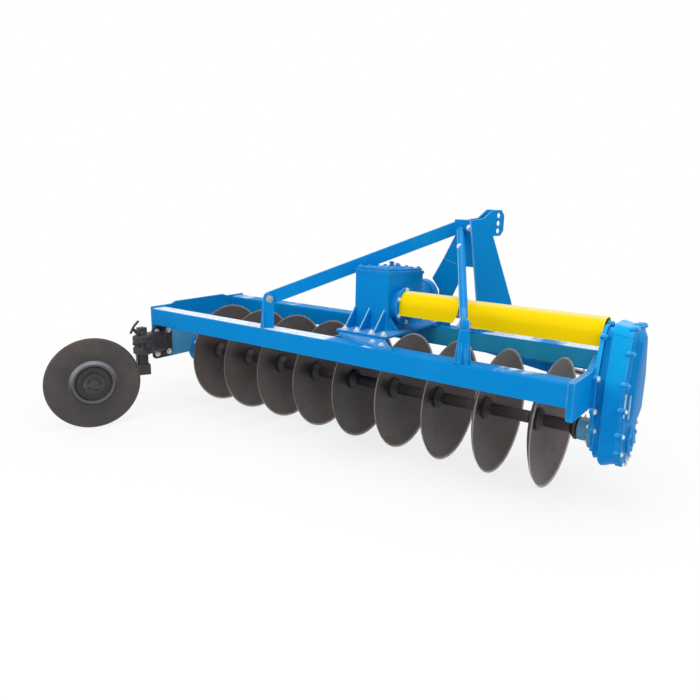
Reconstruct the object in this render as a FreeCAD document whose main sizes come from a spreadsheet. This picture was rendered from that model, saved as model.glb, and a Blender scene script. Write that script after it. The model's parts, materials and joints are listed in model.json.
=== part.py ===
"""Power-driven disc plough: nine discs on one driven gang under a box frame.

Working axes while building: X runs along the beams from their left end, Y runs
forward from the rear beam's rear face, Z is the height above the ground.  At the
end every piece is shifted so that the origin lies on the ground, in the middle of
the machine's box.  The tractor pulls along the travel direction, which is turned
from +Y towards +X by the gang angle.
"""
import FreeCAD, Part
import math
import os
from types import SimpleNamespace

V = FreeCAD.Vector

SIZES = {
    # frame
    "beam_length": 2330,
    "beam_side": 94,
    "beam_wall": 8,
    "beam_corner": 10,
    "frame_depth": 710,
    "beam_underside": 462,
    "left_plate_thick": 14,
    "right_plate_thick": 22,
    "left_plate_foot": 263,
    "right_plate_foot": 410,
    "plate_rise": 22,
    # gang
    "disc_radius": 280,
    "disc_depth": 72,
    "disc_thick": 6,
    "disc_count": 9,
    "disc_pitch": 242.8,
    "first_rim": 241.7,
    "disc_seat": 56,
    "shaft_square": 34,
    "journal_radius": 25,
    "running_fit": 0.05,
    "spool_radius": 27,
    "spool_flange": 50,
    "collar_length": 30,
    "hanger_radius": 97,
    "bearing_radius": 50,
    "bearing_length": 62,
    "right_bearing_length": 66,
    "gang_angle": 24,
    # drive
    "drive_height": 690,
    "cross_radius": 20,
    "guard_radius": 64,
    "guard_wall": 4,
    "guard_skirt": 45,
    "guard_left_end": 1690,
    "guard_right_start": 1734,
    "case_flange": 16,
    "case_body": 88,
    "case_cover": 44,
    "case_wall": 12,
    "case_half": 115,
    "case_sump": 137,
    "case_top": 62,
    "case_shoulder": 560,
    # gearbox
    "gearbox_x": 1302,
    "gearbox_width": 180,
    "gearbox_near": 258,
    "gearbox_far": 584,
    "gearbox_top": 834,
    "cover_thick": 12,
    "gearbox_wall": 12,
    "gearbox_foot": 24,
    "cradle_thick": 18,
    "snout_radius": 85,
    "snout_length": 85,
    "snout_wall": 20,
    "pto_radius": 17.5,
    "pto_reach": 90,
    "pto_seat_radius": 20,
    "pto_shoulder": 4,
    # headstock
    "hitch_x": 1598,
    "hitch_y": 670,
    "mast_half": 73,
    "mast_thick": 12,
    "mast_foot_rear": 22,
    "mast_top_rear": -72,
    "mast_top": 1084,
    "mast_base_thick": 14,
    "mast_leg_thick": 12,
    "top_pin_radius": 12.9,
    "top_pin_forward": 102,
    "top_pin_low": 1041,
    "top_pin_step": 36.5,
    "lower_pin_radius": 14,
    "lower_pin_half": 412,
    "lower_pin_forward": 285,
    "lower_pin_height": 415,
    "lower_pin_length": 110,
    "hitch_bar_side": 70,
    "hitch_bar_wall": 6,
    "hitch_arm_thick": 26,
    # braces
    "brace_depth": 62,
    "brace_thick": 35,
    "brace_pin": 12,
    "brace_pin_rise": 144,
    "brace_left_x": 845,
    "brace_right_x": 1868,
    "ear_thick": 12,
    # tail disc
    "tail_radius": 235,
    "tail_thick": 11,
    "tail_x": 72,
    "tail_y": -440,
    "tail_ring": 118,
    "tail_arm_offset": 165,
    "tail_arm_thick": 46,
    "tail_arm_depth": 56,
    "tail_shank_side": 42,
    "tail_shank_top": 505,
    "tail_hub_radius": 52,
    "tail_spindle": 17,
    "tail_plate_thick": 12,
}

doc = FreeCAD.newDocument("disc_plough")
sheet = doc.addObject("Spreadsheet::Sheet", "Sizes")
for row, (alias, value) in enumerate(SIZES.items(), start=1):
    sheet.set("A%d" % row, alias)
    sheet.set("B%d" % row, str(value))
    sheet.setAlias("B%d" % row, alias)
doc.recompute()
S = SimpleNamespace(**{alias: float(sheet.get(alias)) for alias in SIZES})

# Places that several pieces share.
BEAM_TOP = S.beam_underside + S.beam_side
MID_Y = S.frame_depth / 2
GANG_Z = S.disc_radius
PLATE_X = S.beam_length
CASE_X = S.beam_length + S.right_plate_thick
ANGLE = math.radians(S.gang_angle)
TRAVEL = V(math.sin(ANGLE), math.cos(ANGLE), 0)
ACROSS = V(math.cos(ANGLE), -math.sin(ANGLE), 0)
UP = V(0, 0, 1)


def turn(x_dir, y_dir):
    """Rotation that lays a sketch's X and Y along two directions."""
    return FreeCAD.Rotation(x_dir, y_dir, x_dir.cross(y_dir), "ZXY")


LEVEL = FreeCAD.Rotation()
SIDE = turn(V(0, 1, 0), UP)          # sketch in the YZ plane, grows along +X
REAR = turn(V(1, 0, 0), UP)          # sketch in the XZ plane, grows along -Y
HITCH_SIDE = turn(TRAVEL, UP)        # upright and along the pull, grows to the right
SPIN = turn(UP, V(1, 0, 0))          # sketch X is a radius, sketch Y lies along +X
parts = []


def new_body(label, origin, rotation=LEVEL, kept=True):
    """An empty body for one piece, placed by its own origin."""
    body = doc.addObject("PartDesign::Body", label)
    body.Label = label
    body.Placement = FreeCAD.Placement(origin, rotation)
    if kept:
        parts.append(body)
    return body


def cut_piece(label, base, tool):
    """Piece that is left of one solid where another takes its room."""
    base.Label = label + "_blank"
    piece = doc.addObject("Part::Cut", label)
    piece.Label = label
    piece.Base = base
    piece.Tool = tool
    parts.append(piece)
    return piece


def new_sketch(body, name, lift=0.0, role="XY_Plane"):
    """A sketch on one of the body's own planes, lifted along its normal."""
    plane = [item for item in body.Origin.OriginFeatures if item.Role == role][0]
    sketch = body.newObject("Sketcher::SketchObject", name)
    sketch.AttachmentSupport = [(plane, "")]
    sketch.MapMode = "FlatFace"
    sketch.AttachmentOffset = FreeCAD.Placement(V(0, 0, lift), LEVEL)
    return sketch


def draw(sketch, points, bulges=None):
    """Closed outline; a bulge gives the middle point of an arc after that point."""
    bulges = bulges or {}
    corners = [V(x, y, 0) for x, y in points]
    for index, start in enumerate(corners):
        end = corners[(index + 1) % len(corners)]
        if index in bulges:
            middle = V(bulges[index][0], bulges[index][1], 0)
            sketch.addGeometry(Part.Arc(start, middle, end))
        else:
            sketch.addGeometry(Part.LineSegment(start, end))


def ring(sketch, x, y, radius):
    """Full circle in a sketch."""
    sketch.addGeometry(Part.Circle(V(x, y, 0), V(0, 0, 1), radius))


def pad(body, sketch, length):
    """Pad a sketch; a text length is a sheet expression."""
    feature = body.newObject("PartDesign::Pad", sketch.Name + "_pad")
    feature.Profile = sketch
    if isinstance(length, str):
        feature.setExpression("Length", length)
    else:
        feature.Length = length
    return feature


def pocket(body, sketch, length):
    """Cut a sketch through the body, half the length to each side of its plane."""
    doc.recompute()
    before = body.Shape.Volume
    feature = body.newObject("PartDesign::Pocket", sketch.Name + "_pocket")
    feature.Profile = sketch
    feature.Length = length
    feature.Midplane = True
    doc.recompute()
    if body.Shape.Volume >= before:
        raise RuntimeError(body.Label + ": the pocket " + sketch.Name + " cuts nothing")
    return feature


def revolve(body, sketch, axis="V_Axis"):
    """Turn a sketch once round its own axis."""
    feature = body.newObject("PartDesign::Revolution", sketch.Name + "_turned")
    feature.Profile = sketch
    feature.ReferenceAxis = (sketch, [axis])
    feature.Angle = 360
    return feature


def plate(label, origin, rotation, points, thick, bulges=None, holes=(), lift=0.0, kept=True):
    """Flat piece: an outline with round holes, padded to a thickness."""
    body = new_body(label, origin, rotation, kept)
    sketch = new_sketch(body, label + "_outline", lift)
    draw(sketch, points, bulges)
    for x, y, radius in holes:
        ring(sketch, x, y, radius)
    pad(body, sketch, thick)
    return body


def turned(label, origin, rotation, profile, bulges=None):
    """Turned piece: profile points are (radius, place along the axis)."""
    body = new_body(label, origin, rotation)
    sketch = new_sketch(body, label + "_profile")
    draw(sketch, profile, bulges)
    revolve(body, sketch)
    return body


def box_points(x0, y0, x1, y1):
    """Corners of a rectangle."""
    return [(x0, y0), (x1, y0), (x1, y1), (x0, y1)]


def rounded_box(x0, y0, x1, y1, radius):
    """Rectangle with round corners: its points and the arcs between them."""
    points = [
        (x0 + radius, y0), (x1 - radius, y0),
        (x1, y0 + radius), (x1, y1 - radius),
        (x1 - radius, y1), (x0 + radius, y1),
        (x0, y1 - radius), (x0, y0 + radius),
    ]
    near = radius * (1 - math.sqrt(0.5))
    bulges = {
        1: (x1 - near, y0 + near), 3: (x1 - near, y1 - near),
        5: (x0 + near, y1 - near), 7: (x0 + near, y0 + near),
    }
    return points, bulges


# --- Frame -------------------------------------------------------------------

def beam(label, y):
    """Square tube with round corners, laid along X."""
    body = new_body(label, V(0, y, S.beam_underside), SIDE)
    sketch = new_sketch(body, label + "_section")
    points, bulges = rounded_box(0, 0, S.beam_side, S.beam_side, S.beam_corner)
    draw(sketch, points, bulges)
    wall = S.beam_wall
    inner = S.beam_side - wall
    points, bulges = rounded_box(wall, wall, inner, inner, max(S.beam_corner - wall, 1))
    draw(sketch, points, bulges)
    pad(body, sketch, "Sizes.beam_length")


beam("rear_beam", 0)
beam("front_beam", S.frame_depth - S.beam_side)


def left_plate():
    """End plate with a round hanger for the gang's left bearing."""
    foot = S.left_plate_foot
    edge = S.frame_depth
    top = BEAM_TOP + 10
    crest = BEAM_TOP + S.plate_rise
    shoulder = S.beam_side + 46
    reach = math.sqrt(S.hanger_radius ** 2 - (GANG_Z - foot - 5) ** 2)
    points = [
        (20, foot), (MID_Y - reach, foot + 5), (MID_Y + reach, foot + 5), (edge - 20, foot),
        (edge, foot + 17), (edge, top), (edge - shoulder, top), (edge - shoulder - 30, crest),
        (shoulder + 30, crest), (shoulder, top), (0, top), (0, foot + 17),
    ]
    bulges = {1: (MID_Y, GANG_Z - S.hanger_radius)}
    plate("left_end_plate", V(-S.left_plate_thick, 0, 0), SIDE, points,
          "Sizes.left_plate_thick", bulges)


def right_plate():
    """End plate that the drive case is bolted to."""
    foot = S.right_plate_foot
    edge = S.frame_depth
    points = [
        (14, foot), (MID_Y + 130, foot), (MID_Y + 190, S.beam_underside), (edge, S.beam_underside),
        (edge, BEAM_TOP + 4),
        (MID_Y + 150, BEAM_TOP + 4), (MID_Y + 60, BEAM_TOP + 50), (MID_Y - 60, BEAM_TOP + 50),
        (MID_Y - 150, BEAM_TOP + 4), (0, BEAM_TOP + 4), (0, foot + 14),
    ]
    plate("right_end_plate", V(PLATE_X, 0, 0), SIDE, points, "Sizes.right_plate_thick")


left_plate()
right_plate()

# --- Gang: square shaft, discs, spools ---------------------------------------

LEFT_END = S.bearing_length
RIGHT_START = CASE_X - S.right_bearing_length
DISC_X = [S.first_rim - S.disc_depth + index * S.disc_pitch for index in range(int(S.disc_count))]


def gang_shaft():
    """Square bar with a round journal at each end, the right one long enough for the case."""
    body = new_body("gang_shaft", V(0, MID_Y, GANG_Z), SIDE)
    square = new_sketch(body, "gang_square", LEFT_END + 1)
    half = S.shaft_square / 2
    draw(square, box_points(-half, -half, half, half))
    pad(body, square, RIGHT_START - LEFT_END - 2)
    left = new_sketch(body, "gang_journal_left", 10)
    ring(left, 0, 0, S.journal_radius)
    pad(body, left, LEFT_END - 9)
    right = new_sketch(body, "gang_journal_right", RIGHT_START - 1)
    ring(right, 0, 0, S.journal_radius)
    pad(body, right, S.right_bearing_length + S.case_flange + 40)


def disc(index, x):
    """Dished disc, hollow to the right, with a flat seat round its square hole."""
    label = "disc_%d" % (index + 1)
    radius = S.disc_radius
    depth = S.disc_depth
    seat = S.disc_seat
    thick = S.disc_thick
    ball = (radius ** 2 + depth ** 2 - seat ** 2) / (2 * depth)
    ball = math.hypot(ball, seat)
    centre = math.sqrt(ball ** 2 - seat ** 2)

    def along(r, ball_radius):
        return centre - math.sqrt(ball_radius ** 2 - r ** 2)

    half = S.shaft_square / 2
    outer = ball + thick
    mid = (radius + seat) / 2
    rim = radius - 14
    body = new_body(label, V(x, MID_Y, GANG_Z), SPIN)
    sketch = new_sketch(body, label + "_profile")
    draw(sketch, [
        (0, 0), (seat, 0), (radius, along(radius, ball)),
        (rim, along(rim, outer)), (seat, -thick), (0, -thick),
    ], {1: (mid, along(mid, ball)), 3: (mid, along(mid, outer))})
    revolve(body, sketch)
    hole = new_sketch(body, label + "_hole", 0, "XZ_Plane")
    draw(hole, box_points(-half, -half, half, half))
    pocket(body, hole, 4 * thick)


def spool(label, start, end, copies=1):
    """Flanged spool between two faces, repeated along the shaft."""
    flange = S.spool_flange
    neck = S.spool_radius
    lip = 8
    body = turned(label, V(start, MID_Y, GANG_Z), SPIN, [
        (0, 0), (flange, 0), (flange, lip), (neck, lip + 22),
        (neck, end - start - lip - 22), (flange, end - start - lip), (flange, end - start),
        (0, end - start),
    ])
    hole = new_sketch(body, label + "_hole", 0, "XZ_Plane")
    half = S.shaft_square / 2
    draw(hole, box_points(-half, -half, half, half))
    cut = pocket(body, hole, 2.5 * (end - start))
    if copies > 1:
        row = body.newObject("PartDesign::LinearPattern", label + "_row")
        row.Originals = [body.Group[1], cut]
        row.Direction = (body.Group[0], ["V_Axis"])
        row.Length = S.disc_pitch * (copies - 1)
        row.Occurrences = copies
        body.Tip = row
    return body


gang_shaft()
for number, place in enumerate(DISC_X):
    disc(number, place)
spool("disc_spools", DISC_X[0], DISC_X[1] - S.disc_thick, int(S.disc_count) - 1)
spool("gang_collar_left", LEFT_END + 5, DISC_X[0] - S.disc_thick)
spool("gang_collar_right", DISC_X[-1], RIGHT_START - 5)


def left_bearing():
    """Flanged bearing on the left end plate, bored for the gang's journal."""
    bore = S.journal_radius + S.running_fit
    turned("left_gang_bearing", V(0, MID_Y, GANG_Z), SPIN, [
        (0, 0), (S.hanger_radius - 10, 0), (S.hanger_radius - 10, 14), (S.bearing_radius, 20),
        (S.bearing_radius, S.bearing_length), (bore, S.bearing_length), (bore, 8), (0, 8),
    ])


def right_bearing():
    """Bearing barrel between the last disc and the drive case."""
    bore = S.journal_radius + S.running_fit
    turned("right_gang_bearing", V(RIGHT_START, MID_Y, GANG_Z), SPIN, [
        (bore, 0), (S.bearing_radius - 6, 0), (S.bearing_radius - 2, 6),
        (S.bearing_radius - 2, S.right_bearing_length - 16), (S.bearing_radius + 22, S.right_bearing_length - 16),
        (S.bearing_radius + 22, S.right_bearing_length), (bore, S.right_bearing_length),
    ])


left_bearing()
right_bearing()

# --- Drive case at the right end ----------------------------------------------


def case_outline(half, sump, top, inset=0.0):
    """Case seen from the side: round sump about the gang, narrow round head."""
    low = math.sqrt(max(sump ** 2 - half ** 2, 0))
    side = half - inset
    round_top = top - inset
    points = [
        (MID_Y - side, GANG_Z - low), (MID_Y + side, GANG_Z - low),
        (MID_Y + side, S.case_shoulder - inset), (MID_Y + round_top, S.drive_height),
        (MID_Y - round_top, S.drive_height), (MID_Y - side, S.case_shoulder - inset),
    ]
    bulges = {
        0: (MID_Y, GANG_Z - sump + inset),
        3: (MID_Y, S.drive_height + round_top),
    }
    return points, bulges


def drive_case():
    """Flange, body and cover of the case that takes the drive down to the gang."""
    gang_bore = S.journal_radius + S.running_fit
    cross_bore = S.cross_radius + S.running_fit
    bores = [(MID_Y, GANG_Z, gang_bore), (MID_Y, S.drive_height, cross_bore)]
    points, bulges = case_outline(S.case_half, S.case_half + 4, S.case_top)
    plate("drive_case_flange", V(CASE_X, 0, 0), SIDE, points, "Sizes.case_flange", bulges, bores)
    body_x = CASE_X + S.case_flange
    points, bulges = case_outline(S.case_half, S.case_sump, S.case_top)
    body = plate("drive_case_body", V(body_x, 0, 0), SIDE, points, "Sizes.case_body", bulges)
    holes = new_sketch(body, "drive_case_bores")
    for y, z, radius in bores:
        ring(holes, y, z, radius)
    pocket(body, holes, 90)
    well = new_sketch(body, "drive_case_well", S.case_body)
    points, bulges = case_outline(S.case_half, S.case_sump, S.case_top, S.case_wall)
    draw(well, points, bulges)
    pocket(body, well, 2 * (S.case_body - S.case_wall))
    points, bulges = case_outline(S.case_half, S.case_half + 4, S.case_top, 8)
    cover = plate("drive_case_cover", V(body_x + S.case_body, 0, 0), SIDE, points,
                  "Sizes.case_cover", bulges)
    well = new_sketch(cover, "drive_case_cover_well")
    points, bulges = case_outline(S.case_half, S.case_sump, S.case_top, S.case_wall + 8)
    draw(well, points, bulges)
    pocket(cover, well, 2 * (S.case_cover - S.case_wall))


drive_case()


def cross_shaft():
    """Shaft from the gearbox to the drive case."""
    start = S.gearbox_x + S.gearbox_width / 2 - 20
    end = CASE_X + S.case_flange + 40
    body = new_body("cross_shaft", V(start, MID_Y, S.drive_height), SIDE)
    sketch = new_sketch(body, "cross_shaft_section")
    ring(sketch, 0, 0, S.cross_radius)
    pad(body, sketch, end - start)


def guard(label, start, end):
    """Arched sheet cover over the cross shaft, open below."""
    outer = S.guard_radius
    inner = outer - S.guard_wall
    skirt = -S.guard_skirt
    body = new_body(label, V(start, MID_Y, S.drive_height), SIDE)
    sketch = new_sketch(body, label + "_section")
    draw(sketch, [(outer, skirt), (outer, 0), (-outer, 0), (-outer, skirt),
                  (-inner, skirt), (-inner, 0), (inner, 0), (inner, skirt)],
         {1: (0, outer), 5: (0, inner)})
    pad(body, sketch, end - start)


cross_shaft()
guard("guard_left", S.gearbox_x + S.gearbox_width / 2 + 12, S.guard_left_end)
guard("guard_right", S.guard_right_start, CASE_X)

# --- Gearbox -------------------------------------------------------------------


def gearbox():
    """Cradle, housing with foot and snout, cover, output boss, input shaft."""
    centre = S.gearbox_x
    half = S.gearbox_width / 2
    near = S.gearbox_near
    far = S.gearbox_far
    foot_z = BEAM_TOP + S.cradle_thick
    edge = S.frame_depth
    plate("gearbox_cradle", V(0, 0, BEAM_TOP), LEVEL, [
        (1262, 45), (1555, 45), (1555, 112), (1440, 112), (1440, edge - 40),
        (1222, edge - 40), (1222, 112), (1262, 112),
    ], "Sizes.cradle_thick")
    housing = plate("gearbox_housing", V(0, 0, foot_z), LEVEL, [
        (centre - half - 40, near - 56), (centre + half + 40, near - 56),
        (centre + half + 40, far + 40), (centre - half - 40, far + 40),
    ], "Sizes.gearbox_foot")
    trunk = new_sketch(housing, "gearbox_trunk", S.gearbox_foot)
    points, bulges = rounded_box(centre - half, near, centre + half, far, 14)
    draw(trunk, points, bulges)
    pad(housing, trunk, S.gearbox_top - foot_z - S.gearbox_foot)
    well = new_sketch(housing, "gearbox_well", S.gearbox_top - foot_z)
    wall = S.gearbox_wall
    points, bulges = rounded_box(centre - half + wall, near + wall, centre + half - wall, far - wall, 8)
    draw(well, points, bulges)
    pocket(housing, well, 2 * (S.gearbox_top - foot_z - S.gearbox_foot))
    snout = new_sketch(housing, "gearbox_snout", -far, "XZ_Plane")
    ring(snout, centre, S.drive_height - foot_z, S.snout_radius)
    nose = pad(housing, snout, "Sizes.snout_length")
    nose.Reversed = True
    bore = new_sketch(housing, "gearbox_input_bore", -far - S.snout_length, "XZ_Plane")
    ring(bore, centre, S.drive_height - foot_z, S.pto_seat_radius + S.running_fit)
    pocket(housing, bore, 120)
    hollow = new_sketch(housing, "gearbox_snout_hollow", -far - (S.snout_length - S.snout_wall) / 2, "XZ_Plane")
    ring(hollow, centre, S.drive_height - foot_z, S.snout_radius - S.gearbox_wall)
    pocket(housing, hollow, S.snout_length - S.snout_wall + 60)
    exit_bore = new_sketch(housing, "gearbox_output_bore", centre + half, "YZ_Plane")
    ring(exit_bore, MID_Y, S.drive_height - foot_z, S.cross_radius + S.running_fit)
    pocket(housing, exit_bore, 60)
    points, bulges = rounded_box(centre - half + 4, near + 4, centre + half - 4, far - 4, 14)
    plate("gearbox_cover", V(0, 0, S.gearbox_top), LEVEL, points, "Sizes.cover_thick", bulges)
    cross_bore = S.cross_radius + S.running_fit
    turned("gearbox_output_boss", V(centre + half, MID_Y, S.drive_height), SPIN, [
        (cross_bore, 0), (S.guard_radius, 0), (S.guard_radius, 12), (cross_bore, 12),
    ])
    start = far + S.snout_length - 50
    seat = 50 + S.pto_shoulder
    turned("pto_shaft", V(centre, start, S.drive_height), turn(UP, V(0, 1, 0)), [
        (0, 0), (S.pto_seat_radius, 0), (S.pto_seat_radius, seat), (S.pto_radius, seat),
        (S.pto_radius, seat + S.pto_reach), (0, seat + S.pto_reach),
    ])


gearbox()

# --- Headstock -------------------------------------------------------------------

HITCH = V(S.hitch_x, S.hitch_y, 0)


def mast_side(label, across):
    """Upright side plate with the lug for the tractor's top link."""
    foot = BEAM_TOP + S.mast_base_thick
    top = S.mast_top
    rear = S.mast_top_rear
    link = S.top_pin_forward
    points = [
        (S.mast_foot_rear, foot), (250, foot), (250, 600), (223, 687), (link - 30, 1017),
        (link + 11, 1020), (link + 32, 1042), (link + 32, 1118), (link + 12, 1140),
        (link - 75, 1139), (rear + 41, 1098), (rear, top),
    ]
    step = S.top_pin_step
    low = S.top_pin_low
    holes = [(link, low + index * step, S.top_pin_radius) for index in range(3)]
    plate(label, HITCH + ACROSS * across, HITCH_SIDE, points, "Sizes.mast_thick", None, holes)


def headstock():
    """Base plate, side plates, rear plate, leg, cross bar with its pins and arms."""
    half = S.mast_half
    thick = S.mast_thick
    plate("mast_base", HITCH + UP * BEAM_TOP, turn(ACROSS, TRAVEL), [
        (-half - 12, -20), (half + 12, -20), (half + 12, 262), (-half - 12, 262),
    ], "Sizes.mast_base_thick")
    mast_side("mast_plate_right", half - thick)
    mast_side("mast_plate_left", -half)
    lean = (S.mast_foot_rear - S.mast_top_rear) / (S.mast_top - BEAM_TOP - S.mast_base_thick)
    low = 870

    def edge(z):
        return S.mast_top_rear + (S.mast_top - z) * lean

    plate("mast_rear_plate", HITCH - ACROSS * half, HITCH_SIDE, [
        (edge(low) - thick, low), (edge(low), low),
        (S.mast_top_rear, S.mast_top), (S.mast_top_rear - thick, S.mast_top),
    ], 2 * half)

    plate("mast_front_block", HITCH - ACROSS * half, HITCH_SIDE, box_points(
        S.lower_pin_forward - S.hitch_bar_side / 2, S.lower_pin_height + S.hitch_bar_side / 2,
        262, BEAM_TOP), 2 * half)


def hitch_bar():
    """Cross bar square to the pull, its two pins, and the arms that hold it to the beam."""
    half = S.lower_pin_half
    side = S.hitch_bar_side / 2
    ahead = S.lower_pin_forward
    height = S.lower_pin_height
    bar = new_body("hitch_bar", HITCH - ACROSS * half, HITCH_SIDE)
    section = new_sketch(bar, "hitch_bar_section")
    draw(section, box_points(ahead - side, height - side, ahead + side, height + side))
    bore = side - S.hitch_bar_wall
    draw(section, box_points(ahead - bore, height - bore, ahead + bore, height + bore))
    pad(bar, section, 2 * half)
    for label, start in (("hitch_pin_left", -half - S.lower_pin_length), ("hitch_pin_right", half)):
        body = new_body(label, HITCH + ACROSS * start, HITCH_SIDE)
        sketch = new_sketch(body, label + "_section")
        ring(sketch, ahead, height, S.lower_pin_radius)
        pad(body, sketch, "Sizes.lower_pin_length")

    def bar_rear(x):
        across = (x - S.hitch_x - (ahead - side) * TRAVEL.x) / ACROSS.x
        return S.hitch_y + across * ACROSS.y + (ahead - side) * TRAVEL.y

    for label, x in (("hitch_arm_left", 1400), ("hitch_arm_right", 1960)):
        end = bar_rear(x + S.hitch_arm_thick) + side
        seat = height + side
        plate(label, V(x, 0, 0), SIDE, [
            (S.frame_depth, seat), (end, seat), (end, seat + 22), (S.frame_depth, BEAM_TOP - 8),
        ], "Sizes.hitch_arm_thick")


def mast_leg():
    """Flat leg from the mast's left side plate down to the front beam."""
    leg = plate("mast_leg_blank", V(0, 706, 0), REAR, [
        (1388, BEAM_TOP), (1484, BEAM_TOP), (1496, 701), (1521, 756), (1560, 790),
        (1560, 1020), (1494, 998), (1388, 808), (1376, 787),
    ], S.mast_leg_thick, kept=False)
    room = plate("mast_leg_room", HITCH - ACROSS * S.mast_half, HITCH_SIDE,
                 box_points(-300, BEAM_TOP - 10, 400, 1300), 300, kept=False)
    cut_piece("mast_leg", leg, room)


headstock()
hitch_bar()
mast_leg()

# --- Braces from the mast to the rear beam ---------------------------------------


def braces():
    """Two pinned braces with their clevis brackets on the rear beam."""
    pin_z = BEAM_TOP + S.brace_pin_rise
    pin_y = S.beam_side / 2
    depth = S.brace_depth / 2
    thick = S.brace_thick
    ear = S.ear_thick
    lean = (S.mast_foot_rear - S.mast_top_rear) / (S.mast_top - BEAM_TOP - S.mast_base_thick)
    low = S.mast_top_rear - S.mast_thick + (S.mast_top - 700) * lean
    high = S.mast_top_rear - S.mast_thick + (S.mast_top - 1300) * lean
    room = [(low, 700), (low + 400, 700), (high + 400, 1300), (high, 1300)]
    pins = []
    for side, x, head in (
        ("left", S.brace_left_x, V(1508, 617, 1042)),
        ("right", S.brace_right_x, V(1592, 588, 1052)),
    ):
        foot = V(x, pin_y, pin_z)
        span = head - foot
        along = V(span.x, span.y, span.z).normalize()
        level = V(span.x, span.y, 0).normalize()
        out = level.cross(UP)
        over = out.cross(along)
        label = "brace_" + side
        bar = plate(label + "_bar", foot - out * (thick / 2), turn(along, over), [
            (0, -depth), (span.Length + 60, -depth), (span.Length + 60, depth), (0, depth),
        ], thick, {3: (-depth, 0)}, [(0, 0, S.brace_pin + 0.1)], kept=False)
        stop = plate(label + "_room", HITCH - ACROSS * 300, HITCH_SIDE, room, 600, kept=False)
        cut_piece(label, bar, stop)
        wide = thick + 1 + 2 * ear
        bracket = plate("brace_bracket_" + side, V(x, pin_y, BEAM_TOP) - out * (wide / 2),
                        turn(level, UP), [
            (-40, 0), (40, 0), (depth, S.brace_pin_rise), (-depth, S.brace_pin_rise),
        ], wide, {2: (0, S.brace_pin_rise + depth)}, [(0, S.brace_pin_rise, S.brace_pin + 0.1)])
        slot = new_sketch(bracket, "brace_slot_" + side, -wide / 2, "XY_Plane")
        slot.AttachmentOffset = FreeCAD.Placement(V(0, 0, wide / 2), LEVEL)
        draw(slot, box_points(-60, 50, 60, 260))
        pocket(bracket, slot, thick + 1)
        pin = new_body("brace_pin_" + side, foot - out * (wide / 2 + 8), turn(level, UP))
        section = new_sketch(pin, "brace_pin_section_" + side)
        ring(section, 0, 0, S.brace_pin)
        pad(pin, section, wide + 16)


braces()

# --- Tail disc at the left rear ----------------------------------------------------

TAIL = V(S.tail_x, S.tail_y, S.tail_radius)
SHANK = TAIL - ACROSS * S.tail_arm_offset + TRAVEL * 292


def tail_disc():
    """Mounting plate, clamp, shank, arm and spindle; the disc and hub that turn on it."""
    side = S.tail_shank_side / 2
    plate("tail_mount_plate", V(0, 0, 0), SIDE, [
        (-20, 300), (0, 284), (110, 284), (128, 300), (128, 424), (-20, 424),
    ], "Sizes.tail_plate_thick")
    inner = side + 0.1
    x, y = SHANK.x, SHANK.y
    clamp = plate("tail_clamp", V(0, 0, 310), LEVEL, [
        (x - 40, y - 40), (x + 40, y - 40), (x + 40, y + 40), (x + 6, y + 46),
        (x + 6, 60), (S.tail_plate_thick, 60), (S.tail_plate_thick, y + 46), (x - 40, y + 40),
    ], 110)
    hole = new_sketch(clamp, "tail_clamp_hole", 55)
    draw(hole, box_points(x - inner, y - inner, x + inner, y + inner))
    pocket(clamp, hole, 130)
    arm_top = S.tail_radius + S.tail_arm_depth / 2
    plate("tail_shank", V(x, y, arm_top), LEVEL, box_points(-side, -side, side, side),
          S.tail_shank_top - arm_top)
    half = S.tail_arm_thick / 2
    plate("tail_arm", V(x, y, arm_top - S.tail_arm_depth), turn(ACROSS, TRAVEL), [
        (-half, 34), (-half, -292), (half, -292), (half, 34),
    ], "Sizes.tail_arm_depth", {1: (0, -292 - half)})
    bore = S.tail_spindle + S.running_fit
    turn_axis = turn(UP, ACROSS)
    start = half - S.tail_arm_offset
    spindle = new_body("tail_spindle", TAIL + ACROSS * start, turn(TRAVEL, UP))
    section = new_sketch(spindle, "tail_spindle_section")
    ring(section, 0, 0, S.tail_spindle)
    pad(spindle, section, 15 - start)
    hub = S.tail_hub_radius
    turned("tail_hub", TAIL, turn_axis, [
        (bore, -100), (hub, -100), (hub, 25), (24, 25), (24, 40), (0, 40), (0, 20), (bore, 20),
    ])
    ring_r = S.tail_ring
    thick = S.tail_thick
    rim = S.tail_radius
    turned("tail_disc", TAIL, turn_axis, [
        (hub, 0), (84, 0), (96, 14), (102, 14), (ring_r, 0), (rim - 10, 0), (rim, 4),
        (rim, 5), (rim - 10, thick), (ring_r, thick), (104, thick + 14), (94, thick + 14),
        (82, thick), (hub, thick),
    ])


tail_disc()

# --- Finish -------------------------------------------------------------------------

doc.recompute()
box = FreeCAD.BoundBox()
for part in parts:
    box.add(part.Shape.BoundBox)
shift = V(-box.Center.x, -box.Center.y, -box.ZMin)
for part in parts:
    spot = part.Placement
    spot.Base = spot.Base + shift
    part.Placement = spot
doc.recompute()
for item in doc.Objects:
    if "Invalid" in item.State or "Error" in item.State:
        raise RuntimeError("failed: " + item.Label)
os.makedirs("parts", exist_ok=True)
for part in parts:
    shape = part.Shape
    if shape.isNull() or not shape.isValid():
        raise RuntimeError("bad shape: " + part.Label)
    shape.exportStep("parts/" + part.Label + ".step")
print("origin shift", round(shift.x, 3), round(shift.y, 3), round(shift.z, 3))
print("pieces", len(parts))
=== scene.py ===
# %% [markdown]
# # A driven disc plough, dressed for its portrait
#
# The solid model gives every plate, tube and disc its true size.  This lesson adds what a
# solid model leaves out: paint that has been handled, cast skin, worn discs, bolts, welds
# and the floor it stands on.  Every new piece is a surface worked out with numpy from one
# formula, and every finish is a small network of shader nodes.

# %% Load the solid model
import json
import math

import bpy
import numpy as np
from mathutils import Matrix, Vector
from mathutils.geometry import tessellate_polygon


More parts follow.
